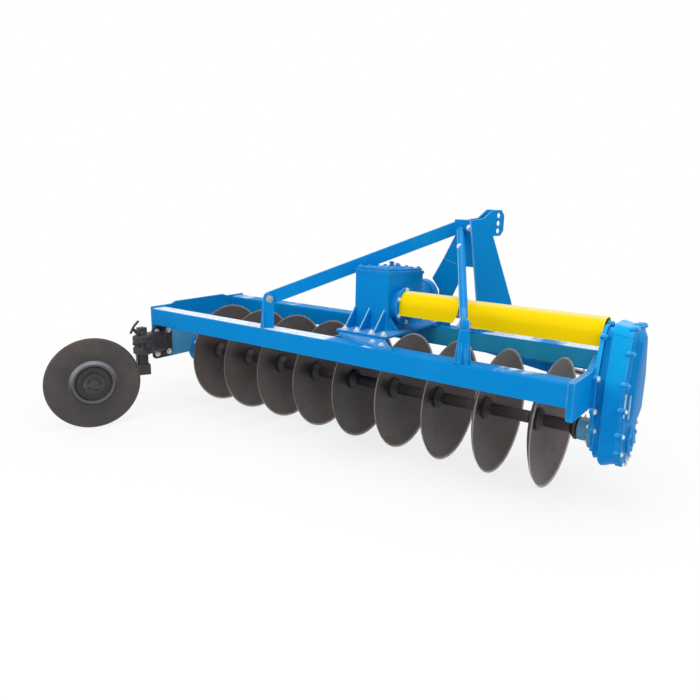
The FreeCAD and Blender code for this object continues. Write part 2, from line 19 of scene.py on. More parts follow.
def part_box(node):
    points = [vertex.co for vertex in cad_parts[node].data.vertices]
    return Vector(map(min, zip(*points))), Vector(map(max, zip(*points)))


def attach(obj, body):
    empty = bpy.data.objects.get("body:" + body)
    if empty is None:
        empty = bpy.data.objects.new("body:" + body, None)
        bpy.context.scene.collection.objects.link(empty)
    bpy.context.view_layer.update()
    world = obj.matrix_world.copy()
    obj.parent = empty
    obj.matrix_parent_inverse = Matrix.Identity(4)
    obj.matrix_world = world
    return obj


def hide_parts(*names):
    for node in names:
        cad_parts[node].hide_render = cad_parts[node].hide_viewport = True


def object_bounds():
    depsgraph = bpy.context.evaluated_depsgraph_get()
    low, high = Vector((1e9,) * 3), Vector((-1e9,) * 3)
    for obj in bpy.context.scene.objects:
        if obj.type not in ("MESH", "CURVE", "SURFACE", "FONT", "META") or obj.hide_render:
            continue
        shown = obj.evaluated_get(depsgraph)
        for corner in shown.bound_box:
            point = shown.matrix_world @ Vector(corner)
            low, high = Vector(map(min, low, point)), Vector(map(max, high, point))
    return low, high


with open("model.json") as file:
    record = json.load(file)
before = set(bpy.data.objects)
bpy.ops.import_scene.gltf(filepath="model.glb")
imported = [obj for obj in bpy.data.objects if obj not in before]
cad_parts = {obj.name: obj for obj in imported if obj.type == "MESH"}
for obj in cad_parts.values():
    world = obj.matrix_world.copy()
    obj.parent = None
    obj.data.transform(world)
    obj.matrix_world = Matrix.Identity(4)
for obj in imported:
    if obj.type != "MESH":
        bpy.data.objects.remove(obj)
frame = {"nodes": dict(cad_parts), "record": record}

solid_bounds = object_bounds()
record = frame["record"]
slot_of = {part["node"]: part["material_slot"] for part in record["subparts"]}

# %% [markdown]
# ## Camera
#
# The machine is seen from behind and to its right, at standing height.  A camera could be
# aimed at an empty with a constraint, but a fixed place with three angles is plainer and
# never drifts: a turn about the vertical, a dip below the horizon and a small roll.

# %% Place the camera
CAMERA_PLACE = np.array([1.810468, -2.536575, 1.2025])
CAMERA_TURN = math.radians(35.693)
CAMERA_DIP = math.radians(13.413)
CAMERA_ROLL = math.radians(1.175)
LENS = 33.747
SENSOR = 36.0


def as_matrix(first, second, third, place):
    """Matrix whose columns are three directions and a place."""
    rows = [[first[row], second[row], third[row], place[row]] for row in range(3)]
    return Matrix(rows + [[0, 0, 0, 1]])


forward = np.array([
    -math.sin(CAMERA_TURN) * math.cos(CAMERA_DIP),
    math.cos(CAMERA_TURN) * math.cos(CAMERA_DIP),
    -math.sin(CAMERA_DIP),
])
level_right = np.array([math.cos(CAMERA_TURN), math.sin(CAMERA_TURN), 0.0])
level_up = np.cross(level_right, forward)
right = math.cos(CAMERA_ROLL) * level_right + math.sin(CAMERA_ROLL) * level_up
up = math.cos(CAMERA_ROLL) * level_up - math.sin(CAMERA_ROLL) * level_right

camera_data = bpy.data.cameras.new("portrait_camera")
camera_data.lens = LENS
camera_data.sensor_width = SENSOR
camera_data.sensor_fit = "HORIZONTAL"
camera = bpy.data.objects.new("portrait_camera", camera_data)
camera.matrix_world = as_matrix(right, up, -forward, CAMERA_PLACE)
bpy.context.scene.collection.objects.link(camera)
bpy.context.scene.camera = camera
bpy.context.scene.view_settings.view_transform = "Standard"
print("camera", round(float(np.linalg.norm(CAMERA_PLACE)), 2), "m from the origin")

# %% [markdown]
# ## Shader maths as plain expressions
#
# A finish is a formula: a pale film lies where the surface faces up, a rub where a noise
# is high.  Wiring that by hand hides the formula, so one small class wraps an output
# socket and turns `+`, `-` and `*` into Math nodes.  Every other node comes from one method.

# %% A socket with operators
class Field:
    """A value that varies over a surface; an expression on numbers adds Math nodes."""

    def __init__(self, shop, socket):
        self.shop = shop
        self.socket = socket

    def maths(self, operation, *values):
        """Math node on fields and plain numbers."""
        return self.shop.node("ShaderNodeMath", {"operation": operation}, *values)

    def __add__(self, other):
        return self.maths("ADD", self, other)

    def __sub__(self, other):
        return self.maths("SUBTRACT", self, other)

    def __rsub__(self, other):
        return self.maths("SUBTRACT", other, self)

    def __mul__(self, other):
        return self.maths("MULTIPLY", self, other)

    __radd__ = __add__
    __rmul__ = __mul__

    def step(self, low, high):
        """Smooth rise from 0 at low to 1 at high."""
        return self.shop.node(
            "ShaderNodeMapRange", {"interpolation_type": "SMOOTHSTEP"},
            **{"Value": self, "From Min": low, "From Max": high},
        )


print("signs that add Math nodes: + - *")


# %% A tree of nodes
class Shop:
    """A tree of nodes and the ways to add to it."""

    def __init__(self, tree):
        self.tree = tree

    def feed(self, socket, value):
        """Link a field to a socket, or set a plain value on it."""
        if isinstance(value, Field):
            self.tree.links.new(value.socket, socket)
        elif socket.type == "RGBA":
            socket.default_value = (*value, 1.0)
        else:
            socket.default_value = value

    def node(self, kind, settings=None, *values, out=0, at=None, **named):
        """Add a node: its settings first, then its inputs by order, by number or by name."""
        added = self.tree.nodes.new(kind)
        for key, value in (settings or {}).items():
            setattr(added, key, value)
        for key, value in [*enumerate(values), *(at or {}).items(), *named.items()]:
            self.feed(added.inputs[key], value)
        return Field(self, added.outputs[out])

    def mix(self, factor, first, second):
        """Colour between two colours: a Mix node keeps them in its inputs 6 and 7."""
        sockets = {0: factor, 6: first, 7: second}
        return self.node("ShaderNodeMix", {"data_type": "RGBA"}, at=sockets, out=2)

    def vectors(self, operation, *values, out=0):
        """Vector Math node; a number that it gives comes out of "Value"."""
        return self.node("ShaderNodeVectorMath", {"operation": operation}, *values, out=out)

    def part(self, vector, axis):
        """One part of a vector: 0, 1 and 2 are the three axes."""
        return self.node("ShaderNodeSeparateXYZ", None, vector, out=axis)


print("helpers of a tree:", ", ".join(name for name in vars(Shop) if name[0] != "_"))


# %% A material, and what can be read from its surface
class Surface(Shop):
    """One material: the patterns and directions that its finish is worked out from."""

    def __init__(self, name):
        self.material = bpy.data.materials.new(name)
        self.material.use_nodes = True
        super().__init__(self.material.node_tree)
        self.shader = self.tree.nodes["Principled BSDF"]
        self.place = self.node("ShaderNodeTexCoord", out="Object")

    def noise(self, scale, detail=2.0, roughness=0.5, stretch=(1.0, 1.0, 1.0)):
        """Cloudy pattern, `scale` blotches to the metre, stretched along the axes."""
        spot = self.node("ShaderNodeMapping", Vector=self.place, Scale=stretch)
        return self.node("ShaderNodeTexNoise", Vector=spot, Scale=scale, Detail=detail,
                         Roughness=roughness)

    def normal(self):
        """The surface's own normal."""
        return self.node("ShaderNodeNewGeometry", out="Normal")

    def facing(self, axis):
        """One part of the surface's normal."""
        return self.part(self.normal(), axis)

    def edges(self, width):
        """1 on an outer edge and 0 on a flat, found where a rounded normal leaves the true one."""
        soft = self.node("ShaderNodeBevel", {"samples": 4}, Radius=width)
        alike = self.vectors("DOT_PRODUCT", soft, self.normal(), out="Value")
        return (1.0 - alike).step(0.03, 0.25)

    def along(self, axis):
        """One of the three object coordinates, in metres."""
        return self.part(self.place, axis)

    def toward(self, direction):
        """Cosine between the surface's normal and a direction."""
        return self.vectors("DOT_PRODUCT", self.normal(), direction, out="Value")

    def reach(self, centre, axis):
        """Distance from a line: what is left of the way from its centre past the part along it."""
        moved = self.vectors("SUBTRACT", self.place, centre)
        sunk = self.vectors("PROJECT", moved, axis)
        return self.vectors("LENGTH", self.vectors("SUBTRACT", moved, sunk), out="Value")

    def finish(self, colour, roughness, metallic=0.0, height=None, depth=0.0002, gloss=0.5):
        """Feed the shader; a height field goes through a Bump node into the normal."""
        self.feed(self.shader.inputs["Base Color"], colour)
        self.feed(self.shader.inputs["Roughness"], roughness)
        self.feed(self.shader.inputs["Metallic"], metallic)
        self.shader.inputs["Specular IOR Level"].default_value = gloss
        if height is not None:
            bump = self.node("ShaderNodeBump", Height=height, Distance=depth, Strength=0.6)
            self.feed(self.shader.inputs["Normal"], bump)
        return self.material


print("helpers of a surface:", ", ".join(name for name in vars(Surface) if name[0] != "_"))


# %% Colours as they are shown
def from_srgb(red, green, blue):
    """Linear colour of a colour given as 0 to 255 display values."""
    parts = np.array([red, green, blue]) / 255.0
    linear = np.where(parts <= 0.04045, parts / 12.92, ((parts + 0.055) / 1.055) ** 2.4)
    return tuple(float(part) for part in linear)


print("middle grey is", round(from_srgb(128, 128, 128)[0], 3), "as light")

# %% [markdown]
# ## Paint
#
# Sprayed implement paint is even but never flat: it pools to a faint orange peel, its edges
# are paler, partly as worn paint and partly as a painted highlight, and level faces carry a
# painted sky reflection.  Some finishes also paint up-tilted faces lighter and put a painted
# highlight on faces turned one way.  Noise on Object coordinates needs no unwrapping and keeps
# its scale on every plate.  The pale edges could be painted by hand, but a Bevel node finds
# them on any mesh.

# %% Colours of the paint
BLUE = from_srgb(0, 134, 208)
WORN_BLUE = from_srgb(20, 150, 218)
EDGE_WEAR_AND_HIGHLIGHT_BLUE = from_srgb(128, 202, 236)
PAINTED_SKY_REFLECTION = from_srgb(238, 247, 252)
DUST = from_srgb(150, 168, 176)
PLAIN_PAINT = (BLUE, WORN_BLUE, EDGE_WEAR_AND_HIGHLIGHT_BLUE)
YELLOW = from_srgb(253, 216, 0)
EDGE_WEAR_AND_HIGHLIGHT_YELLOW = from_srgb(255, 238, 120)
print("blue as light:", [round(part, 3) for part in BLUE])


# %% Sprayed paint
def sprayed_paint(name, colour, worn, edge, sky_sheen=0.0, slope=(0.1, 0.55), bright=0.0, broken=None,
                  glint=None, spread=0.96, within=None):
    """Colour mixed by noise to a worn shade, by edges to a pale edge tone, by tilt to a sky sheen.

    The pale edge tone is partly worn paint and partly a painted highlight; the sky sheen is a
    painted sky reflection on level faces.  `bright` paints faces whose tilt lies past `slope`
    lighter, towards `worn`, as painted light; past the length `broken` the sky sheen lies in long
    patches only; `glint` is a direction whose faces get a painted highlight in the `edge` colour,
    `spread` the cosine from which they do, and `within` keeps that highlight to one side of a
    place.
    """
    shop = Surface(name)
    wide = shop.noise(3.2, 4.0, 0.6)
    fine = shop.noise(38.0, 3.0, 0.65)
    rub = wide.step(0.42, 0.72) * 0.34 + fine.step(0.5, 0.8) * 0.14
    tilt = shop.facing(2)
    # Painted light: faces tilted past `slope` are painted lighter, towards the `worn` colour.
    lit = tilt.step(*slope) * bright
    # Painted sky reflection: level faces are painted pale, and past `broken` only in long patches.
    level = tilt.step(0.8, 0.99) * sky_sheen * (0.8 + 0.4 * fine.step(0.3, 0.7))
    if broken is not None:
        patch = shop.noise(3.4, 4.0, 0.6, stretch=(1.0, 0.4, 0.4)).step(0.53, 0.62)
        past = shop.along(0).step(broken, broken + 0.04)
        level = level * (1.0 - past * (1.0 - patch))
    # Pale edges from the Bevel node: partly worn paint, partly a painted highlight.
    rim = shop.edges(0.004) * (0.55 + 0.45 * fine.step(0.35, 0.65))
    tone = shop.mix(rub, colour, worn)
    tone = shop.mix(lit, tone, worn)
    # Painted highlight: faces turned towards `glint` are painted towards the `edge` colour.
    if glint is not None:
        caught = shop.toward(glint).step(spread, spread + 0.03) * 0.8
        if within:
            axis, start, end = within
            caught = caught * shop.along(axis).step(start, end)
        tone = shop.mix(caught, tone, edge)
    tone = shop.mix(rim, tone, edge)
    tone = shop.mix(level, tone, PAINTED_SKY_REFLECTION)
    grime = fine.step(0.56, 0.78) * wide.step(0.5, 0.62) * 0.1
    tone = shop.mix(grime, tone, DUST)
    peel = shop.noise(220.0, 2.0)
    return shop.finish(tone, 0.38 + rub * 0.16 + grime, height=peel + rim * 0.4, gloss=0.05)


PAINT = sprayed_paint("frame_blue_paint", *PLAIN_PAINT, sky_sheen=0.1)
YELLOW_PAINT = sprayed_paint("guard_yellow_paint", YELLOW, YELLOW, EDGE_WEAR_AND_HIGHLIGHT_YELLOW, sky_sheen=0.25)
print("nodes in the frame's paint:", len(PAINT.node_tree.nodes))

# %% [markdown]
# ## Steel
#
# The discs are rolled steel with dark scale, rubbed bright at the rim by the ground and
# browned by old soil.  Turning marks run round them, so the pattern is worked out from
# the distance to the shaft's line and stays with a disc when the gang turns.

# %% Worked steel
SOIL = from_srgb(98, 84, 74)
DISC_SOIL = from_srgb(104, 88, 76)
GROUND_RIM = from_srgb(190, 184, 178)
PAINTED_RING_HIGHLIGHT = from_srgb(138, 137, 144)
TO_RIGHT = (1.0, 0.0, 0.0)           # direction of the gang's shaft


def worked_steel(name, colour, worn, soil, rough=0.42, metallic=0.5, edge=0.3):
    """Dark scale mixed towards worn metal by streaks and edges, with dry soil in patches."""
    shop = Surface(name)
    wide = shop.noise(5.0, 5.0, 0.62)
    streak = shop.noise(26.0, 4.0, 0.6, stretch=(1.0, 0.35, 1.0))
    speck = shop.noise(120.0, 3.0, 0.7)
    wear = streak.step(0.5, 0.74) * 0.5 + shop.edges(0.003) * edge
    earth = wide.step(0.46, 0.7) * speck.step(0.4, 0.66) * 0.4
    tone = shop.mix(wear, colour, worn)
    tone = shop.mix(earth, tone, soil)
    return shop.finish(tone, rough + earth * 0.4 - wear * 0.1, metallic * (1.0 - earth),
                       height=speck + wide, depth=0.0006, gloss=0.3)


GANG_DARK = worked_steel("gang_dark_scale", from_srgb(72, 67, 67), from_srgb(94, 89, 88), SOIL,
                         rough=0.5)
TAIL_DARK = worked_steel("tail_black_paint", from_srgb(66, 64, 65), from_srgb(104, 104, 107), SOIL,
                         rough=0.46, metallic=0.2)
BRIGHT = worked_steel("bright_steel_ground", from_srgb(168, 170, 176), from_srgb(205, 207, 212),
                      from_srgb(128, 122, 116), rough=0.26, metallic=0.85)
print("nodes in the gang's scale:", len(GANG_DARK.node_tree.nodes))


# %% Skin of a disc
def disc_skin(name, line, axis, radius, dark, worked, ring=None):
    """Scale with turning marks: dark near the shaft, worked paler outwards, bright ground rim.

    Everything is read from the distance to the shaft's line; `ring` is a pair of radii
    between which a pressed ring gets a painted highlight where it faces up.
    """
    shop = Surface(name)
    reach = shop.reach(line, axis)
    wide = shop.noise(6.0, 5.0, 0.6)
    speck = shop.noise(90.0, 3.0, 0.7)
    turning = shop.node("ShaderNodeTexNoise", {"noise_dimensions": "1D"}, W=reach, Scale=160.0,
                        Detail=3.0)
    rim = reach.step(radius - 0.012, radius - 0.004)
    outward = reach.step(radius * 0.3, radius * 0.85)
    earth = wide.step(0.48, 0.68) * speck.step(0.36, 0.62) * 0.45 + outward * 0.12
    rubbed = outward * (0.55 + 0.45 * wide.step(0.35, 0.6)) + turning.step(0.3, 0.7) * 0.16
    tone = shop.mix(rubbed, dark, worked)
    tone = shop.mix(earth, tone, DISC_SOIL)
    if ring:
        half = (ring[1] - ring[0]) / 2
        from_ring = reach - sum(ring) / 2
        band = 1.0 - from_ring.maths("ABSOLUTE", from_ring).step(half * 0.7, half)
        # Painted highlight: the pressed ring is painted paler where it faces up.
        tone = shop.mix(band * shop.facing(2).step(-0.25, 0.45) * 0.8, tone, PAINTED_RING_HIGHLIGHT)
    tone = shop.mix(rim * (0.5 + 0.5 * speck.step(0.35, 0.6)), tone, GROUND_RIM)
    return shop.finish(tone, 0.42 + earth * 0.5 - rim * 0.1, 0.3 * (1.0 - earth),
                       height=turning + speck + wide, depth=0.0005, gloss=0.3)


def disc_radius(node):
    """Half the height of a disc that stands upright, in metres."""
    low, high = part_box(node)
    return float(high[2] - low[2]) / 2


gang_low, gang_high = (np.array(corner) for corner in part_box("gang_shaft"))
gang_line = tuple(float(value) for value in (gang_low + gang_high) / 2)
DISC_SCALE = disc_skin("disc_steel_scale", gang_line, TO_RIGHT, disc_radius("disc_1"),
                       from_srgb(58, 53, 52), from_srgb(100, 93, 91))
print("a disc's radius:", round(disc_radius("disc_1"), 3), "m")

# %% One finish for each slot of the solid model
finishes = {
    "frame_blue": PAINT, "guard_yellow": YELLOW_PAINT, "disc_steel": DISC_SCALE,
    "gang_dark": GANG_DARK, "tail_black": TAIL_DARK, "bright_steel": BRIGHT,
}
print("finishes:", ", ".join(finishes))

# %% Finishes of the beams and the end plate
MIDDLE, LEFT_OF_ALL = 0.0, -1.4      # metres along the beams from which the painted sky reflection is broken
TO_REAR = (0.0, -1.0, 0.0)
# The beams' tops carry a strong painted sky reflection: on the rear beam it lies in patches right
# of the middle, and on the front beam in patches all along.
REAR_PAINT = sprayed_paint("rear_beam_paint", *PLAIN_PAINT, sky_sheen=0.92, broken=MIDDLE)
# Painted light: the front beam's rear face, in shade under the guards, is painted a lighter teal
# from about 0.05 m rightwards.
FRONT_PAINT = sprayed_paint("front_beam_paint", BLUE, WORN_BLUE, from_srgb(52, 170, 214), sky_sheen=0.85,
                            broken=LEFT_OF_ALL, glint=TO_REAR, within=(0, 0.05, 0.25))
# Painted light: the end plate's inward face is painted a paler grey-blue below about 0.49 m, under
# the beam.
END_PAINT = sprayed_paint("end_plate_paint", BLUE, WORN_BLUE, from_srgb(96, 178, 216), sky_sheen=0.1,
                          glint=TO_RIGHT, within=(2, 0.49, 0.44))
print("beam finishes:", ", ".join(paint.name for paint in (REAR_PAINT, FRONT_PAINT, END_PAINT)))

# %% Finishes of castings, bolts and welds
WORN_CASTING = sprayed_paint("bearing_paint", from_srgb(84, 148, 182), from_srgb(120, 164, 186),
                             from_srgb(170, 198, 210), sky_sheen=0.4)
# The case's and cover's up-tilted flanks are painted lighter as painted light, and their worn
# colour is that painted light tone, so their random worn patches are painted light too; the cover's
# slightly darker blue is painted shade.
CASE_PAINT = sprayed_paint("case_blue_paint", from_srgb(0, 128, 204), from_srgb(16, 176, 240),
                           EDGE_WEAR_AND_HIGHLIGHT_BLUE, sky_sheen=0.2, slope=(0.05, 0.14), bright=0.95)
COVER_PAINT = sprayed_paint("case_cover_paint", from_srgb(0, 122, 194), from_srgb(30, 150, 212),
                            EDGE_WEAR_AND_HIGHLIGHT_BLUE, sky_sheen=0.2, slope=(0.05, 0.3), bright=0.7)
ZINC = worked_steel("zinc_plating", from_srgb(222, 225, 229), from_srgb(244, 246, 248),
                    from_srgb(196, 196, 192), rough=0.3, metallic=0.35)
# Pale paint of the two case pads: a painted reflection.
PAINTED_REFLECTION_CASTING = sprayed_paint("painted_reflection_casting", from_srgb(170, 190, 208),
                             from_srgb(196, 208, 218), from_srgb(220, 228, 232))
WELD_BLUE = sprayed_paint("weld_blue_paint", from_srgb(4, 128, 200), WORN_BLUE, EDGE_WEAR_AND_HIGHLIGHT_BLUE, sky_sheen=0.3)
print("plating and castings:", ZINC.name, PAINTED_REFLECTION_CASTING.name, WORN_CASTING.name)

# %% Finish of the tail disc, and whose finish is its own
joints = {joint["name"]: joint for joint in record["behaviour"]["joints"]}
tail_joint = joints["tail_disc_spin"]
tail_axis = np.array(tail_joint["axis"], float)
tail_axis /= np.linalg.norm(tail_axis)
tail_radius = disc_radius("tail_disc")
TAIL_SKIN = disc_skin("tail_disc_paint", tuple(tail_joint["pos_m"]), tuple(tail_axis),
                      tail_radius * 1.1, from_srgb(58, 56, 57), from_srgb(72, 70, 71),
                      ring=(tail_radius * 0.38, tail_radius * 0.52))
own_finish = {
    "rear_beam": REAR_PAINT, "front_beam": FRONT_PAINT, "left_end_plate": END_PAINT,
    "tail_disc": TAIL_SKIN, "drive_case_body": CASE_PAINT, "drive_case_cover": COVER_PAINT,
    "right_gang_bearing": WORN_CASTING,
}
print("pieces with a finish of their own:", ", ".join(own_finish))

# %% Give every node its finish
for name, node in frame["nodes"].items():
    finish = own_finish.get(name, finishes[slot_of[name]])
    if len(node.data.materials) == 0:
        node.data.materials.append(finish)
    for index in range(len(node.data.materials)):
        node.data.materials[index] = finish
print("dressed", len(frame["nodes"]), "nodes")

# %% [markdown]
# ## Measuring from the solid model
#
# A maker measures in millimetres from the left foot of the rear beam.  `span` gives any
# node's corners in that measure, so a piece that seats on a beam asks for the beam.

# %% A maker's measure
ZERO = np.array([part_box("rear_beam")[0][0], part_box("rear_beam")[0][1], solid_bounds[0][2]])


def span(node):
    """Lowest and highest corner of a node, in millimetres from the rear beam's left foot."""
    return tuple((np.array(corner) - ZERO) * 1000.0 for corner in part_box(node))


def middle(node):
    """Middle of a node's box, in the same measure."""
    return sum(span(node)) / 2


X, Y, UP = np.eye(3)
beam_low, beam_high = span("rear_beam")
BEAM_TOP = float(beam_high[2])
BEAM_SIDE = float(beam_high[1] - beam_low[1])
FRAME_DEPTH = float(span("front_beam")[1][1])
MID_Y, GANG_Z = (float(value) for value in middle("gang_shaft")[1:])
DRIVE_Z = float(middle("cross_shaft")[2])
PLATE_X, CASE_X = (float(corner[0]) for corner in span("right_end_plate"))
print("beam top", round(BEAM_TOP), "gang line", round(GANG_Z), "cross shaft", round(DRIVE_Z))

# %% [markdown]
# ## Three ways to make a closed skin
#
# Nearly everything on a plough is a plate, a turned part or a casting that changes its
# outline along one axis.  All three are one grid: an outline carried along a line.  A
# plate carries it unchanged but for a small chamfer, a turned part carries a circle whose
# radius follows a profile, and a casting carries an outline that grows and shrinks.

# %% Outlines with arcs and round corners
def outline(points, bulges=None, corner=0.0, steps=6):
    """Closed outline: straight runs, an arc after each point in `bulges`, corners rounded."""
    points = [np.array(point, float) for point in points]
    bulges = bulges or {}
    rows = []
    for index, point in enumerate(points):
        before, after = points[index - 1], points[(index + 1) % len(points)]
        if index in bulges:
            rows.append(arc_through(point, np.array(bulges[index], float), after, 3 * steps)[:-1])
        elif corner and (index - 1) % len(points) not in bulges:
            rows.append(round_corner(before, point, after, corner, steps))
        else:
            rows.append(point[None, :])
    ring = np.concatenate(rows)
    after = np.roll(ring, -1, axis=0)
    area = np.sum(ring[:, 0] * after[:, 1] - after[:, 0] * ring[:, 1])
    return ring if area > 0 else ring[::-1]


def arc_through(start, middle, end, steps):
    """Arc through three points: the circle's centre is equally far from all of them."""
    rows = 2 * np.array([middle - start, end - start])
    sums = np.array([middle @ middle - start @ start, end @ end - start @ start])
    centre = np.linalg.solve(rows, sums)
    angles = [math.atan2(*(point - centre)[::-1]) for point in (start, middle, end)]
    sweep = (angles[2] - angles[0]) % (2 * math.pi)
    if (angles[1] - angles[0]) % (2 * math.pi) > sweep:
        sweep -= 2 * math.pi
    turn = angles[0] + sweep * np.linspace(0.0, 1.0, steps + 1)
    reach = np.linalg.norm(start - centre)
    return centre + reach * np.stack([np.cos(turn), np.sin(turn)], axis=1)


def round_corner(before, point, after, radius, steps):
    """Quadratic curve from one run to the next, starting `radius` short of the corner."""
    first, last = before - point, after - point
    reach = min(radius, np.linalg.norm(first) / 2.1, np.linalg.norm(last) / 2.1)
    start = point + first / np.linalg.norm(first) * reach
    end = point + last / np.linalg.norm(last) * reach
    share = np.linspace(0.0, 1.0, steps + 1)[:, None]
    return (1 - share) ** 2 * start + 2 * share * (1 - share) * point + share ** 2 * end


rounded = outline([(0, 0), (100, 0), (100, 100), (0, 100)], corner=20)
print("a square with round corners:", len(rounded), "points")


# %% Skins through equal rings
def inset(ring, width):
    """Outline moved inwards: each point goes along the mean of its two runs' normals."""
    run = np.roll(ring, -1, axis=0) - ring
    run /= np.linalg.norm(run, axis=1)[:, None]
    normal = np.stack([-run[:, 1], run[:, 0]], axis=1)
    mean = normal + np.roll(normal, 1, axis=0)
    return ring + mean * (2 * width / np.maximum(np.sum(mean * mean, axis=1), 0.8))[:, None]


def skin(rings, caps=True):
    """Points and faces of a tube through equal rings, closed by a flat face on each end."""
    rings = np.asarray(rings, float)
    rows, columns = rings.shape[:2]
    row = np.arange(rows - 1)[:, None] * columns
    column = np.arange(columns)[None, :]
    after = (column + 1) % columns
    quads = np.stack([row + column, row + after, row + columns + after, row + columns + column], -1)
    faces = quads.reshape(-1, 4).tolist()
    if caps:
        faces.append(list(range(columns))[::-1])
        faces.append(list(range((rows - 1) * columns, rows * columns)))
    return rings.reshape(-1, 3), faces


def joined(shapes):
    """One shape of many: the faces of each are counted on from the points before it."""
    counts = np.cumsum([0] + [len(points) for points, faces in shapes])
    faces = [[corner + int(start) for corner in face]
             for (points, every), start in zip(shapes, counts) for face in every]
    return np.concatenate([points for points, every in shapes]), faces


def lay(flat, lift, place, first, second):
    """Carry flat points to space along `first` and `second` from a place, and lift them."""
    first, second = np.array(first, float), np.array(second, float)
    along = np.cross(first, second)
    return np.array(place, float) + flat[:, :1] * first + flat[:, 1:] * second + lift * along


sheet_points, sheet_faces = skin([lay(rounded, lift, (0, 0, 0), X, Y) for lift in (0, 5)])
print("a plate of it:", len(sheet_points), "points and", len(sheet_faces), "faces")

# %% Plates and castings
CHAMFER = 1.2


def slab(ring, thick, place, first, second, holes=(), chamfer=CHAMFER):
    """Plate: its outline at both faces, inset by a chamfer; a hole is an outline turned over."""
    lifts = ((0.0, chamfer), (chamfer, 0.0), (thick - chamfer, 0.0), (thick, chamfer))
    loops = [ring] + [hole[::-1] for hole in holes]
    shapes = [skin([lay(inset(loop, width), lift, place, first, second) for lift, width in lifts],
                   caps=not holes) for loop in loops]
    if holes:
        small = [inset(loop, chamfer) for loop in loops]
        flat = np.concatenate(small)
        loose = [[Vector((*point, 0.0)) for point in loop] for loop in small]
        corners = np.array(tessellate_polygon(loose))
        a, b, c = (flat[corners[:, index]] for index in range(3))
        turned_over = (b - a)[:, 0] * (c - a)[:, 1] < (b - a)[:, 1] * (c - a)[:, 0]
        corners[turned_over] = corners[turned_over][:, ::-1]
        shapes.append((lay(flat, 0.0, place, first, second), corners[:, ::-1].tolist()))
        shapes.append((lay(flat, thick, place, first, second), corners.tolist()))
    return joined(shapes)


def casting(stations, place, first, second):
    """Cast form: outlines of equally many points, each lifted to its own station."""
    return skin([lay(ring, lift, place, first, second) for lift, ring in stations])


with_hole = slab(rounded, 5, (0, 0, 0), X, Y, holes=[rounded / 2 + 25])
print("a plate with a hole:", len(with_hole[1]), "faces")


# %% Turned parts and plain rings
def lathe(profile, place, along, sides=24, lobes=0):
    """Turned part: rows of radius, place along the axis and share of a hexagon or of splines.

    A hexagon's radius is its half width over the cosine of the angle from the nearest flat's
    middle; splines lower the radius by a wave of `lobes` flat-topped teeth.
    """
    along = np.array(along, float) / np.linalg.norm(along)
    aside = np.cross(along, UP if abs(along[2]) < 0.9 else X)
    aside /= np.linalg.norm(aside)
    over = np.cross(along, aside)
    angle = np.arange(sides) * 2 * math.pi / sides
    if lobes:
        wave = 1.0 - 0.16 * np.clip(0.5 - 1.6 * np.cos(lobes * angle), 0.0, 1.0)
    else:
        flat = math.pi / 3
        wave = 1.0 / np.cos((angle + flat / 2) % flat - flat / 2)
    rows = np.array([tuple(row) + (0.0,) * (3 - len(row)) for row in profile])
    reach = rows[:, :1] * (1.0 + rows[:, 2:] * (wave - 1.0))
    rings = (np.array(place, float) + rows[:, 1][:, None, None] * along
             + reach[..., None] * (np.cos(angle)[:, None] * aside + np.sin(angle)[:, None] * over))
    return skin(rings)


def circle(across, up, radius, sides=20):
    """Round outline about a flat point."""
    angle = np.arange(sides) * 2 * math.pi / sides
    return np.array([across, up]) + radius * np.stack([np.cos(angle), np.sin(angle)], axis=1)


def box_ring(x0, y0, x1, y1, corner=0.0, steps=4):
    """Rectangle, its corners rounded if a corner is given."""
    return outline([(x0, y0), (x1, y0), (x1, y1), (x0, y1)], corner=corner, steps=steps)


print("a round bar:", len(lathe([(5, 0), (5, 10)], (0, 0, 0), UP)[0]), "points")

# %% Pieces, and a count of what is made so far
CREASE = math.radians(32)
made = []


def piece(name, shapes, finish=PAINT, instead=None, body="frame"):
    """Mesh object of joined shapes that rides on a body and may stand for a solid node."""
    points, faces = joined(shapes)
    mesh = bpy.data.meshes.new(name)
    mesh.from_pydata((ZERO + points / 1000.0).tolist(), [], faces)
    mesh.validate()
    mesh.shade_smooth()
    mesh.set_sharp_from_angle(angle=CREASE)
    mesh.materials.append(finish)
    thing = bpy.data.objects.new(name, mesh)
    bpy.context.scene.collection.objects.link(thing)
    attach(thing, body)
    if instead:
        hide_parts(instead)
    made.append(thing)


def tell(cell):
    """Print what there is once a cell is done."""
    points = sum(len(thing.data.vertices) for thing in made)
    print(cell + ":", len(made), "pieces and", points, "points so far")


# %% Directions that outlines are laid in
SIDE = (Y, UP)                       # outline in depth and height, grows to the right
REAR = (X, UP)                       # outline in width and height, grows to the rear
LEVEL = (X, Y)                       # outline seen from above, grows upwards
ORIGIN = (0, 0, 0)
print("outlines grow along", [np.cross(*plane).tolist() for plane in (SIDE, REAR, LEVEL)])

# %% [markdown]
# ## Left end plate and tail mount
#
# The left plate is flame-cut with a round hanger for the gang's bearing.  Its outline has
# one arc, so a plate with one bulge says it all.  The tail disc's mounting plate is bolted
# to its outer corner and carries a cast clamp with a pinch bolt and a tommy-bar screw.

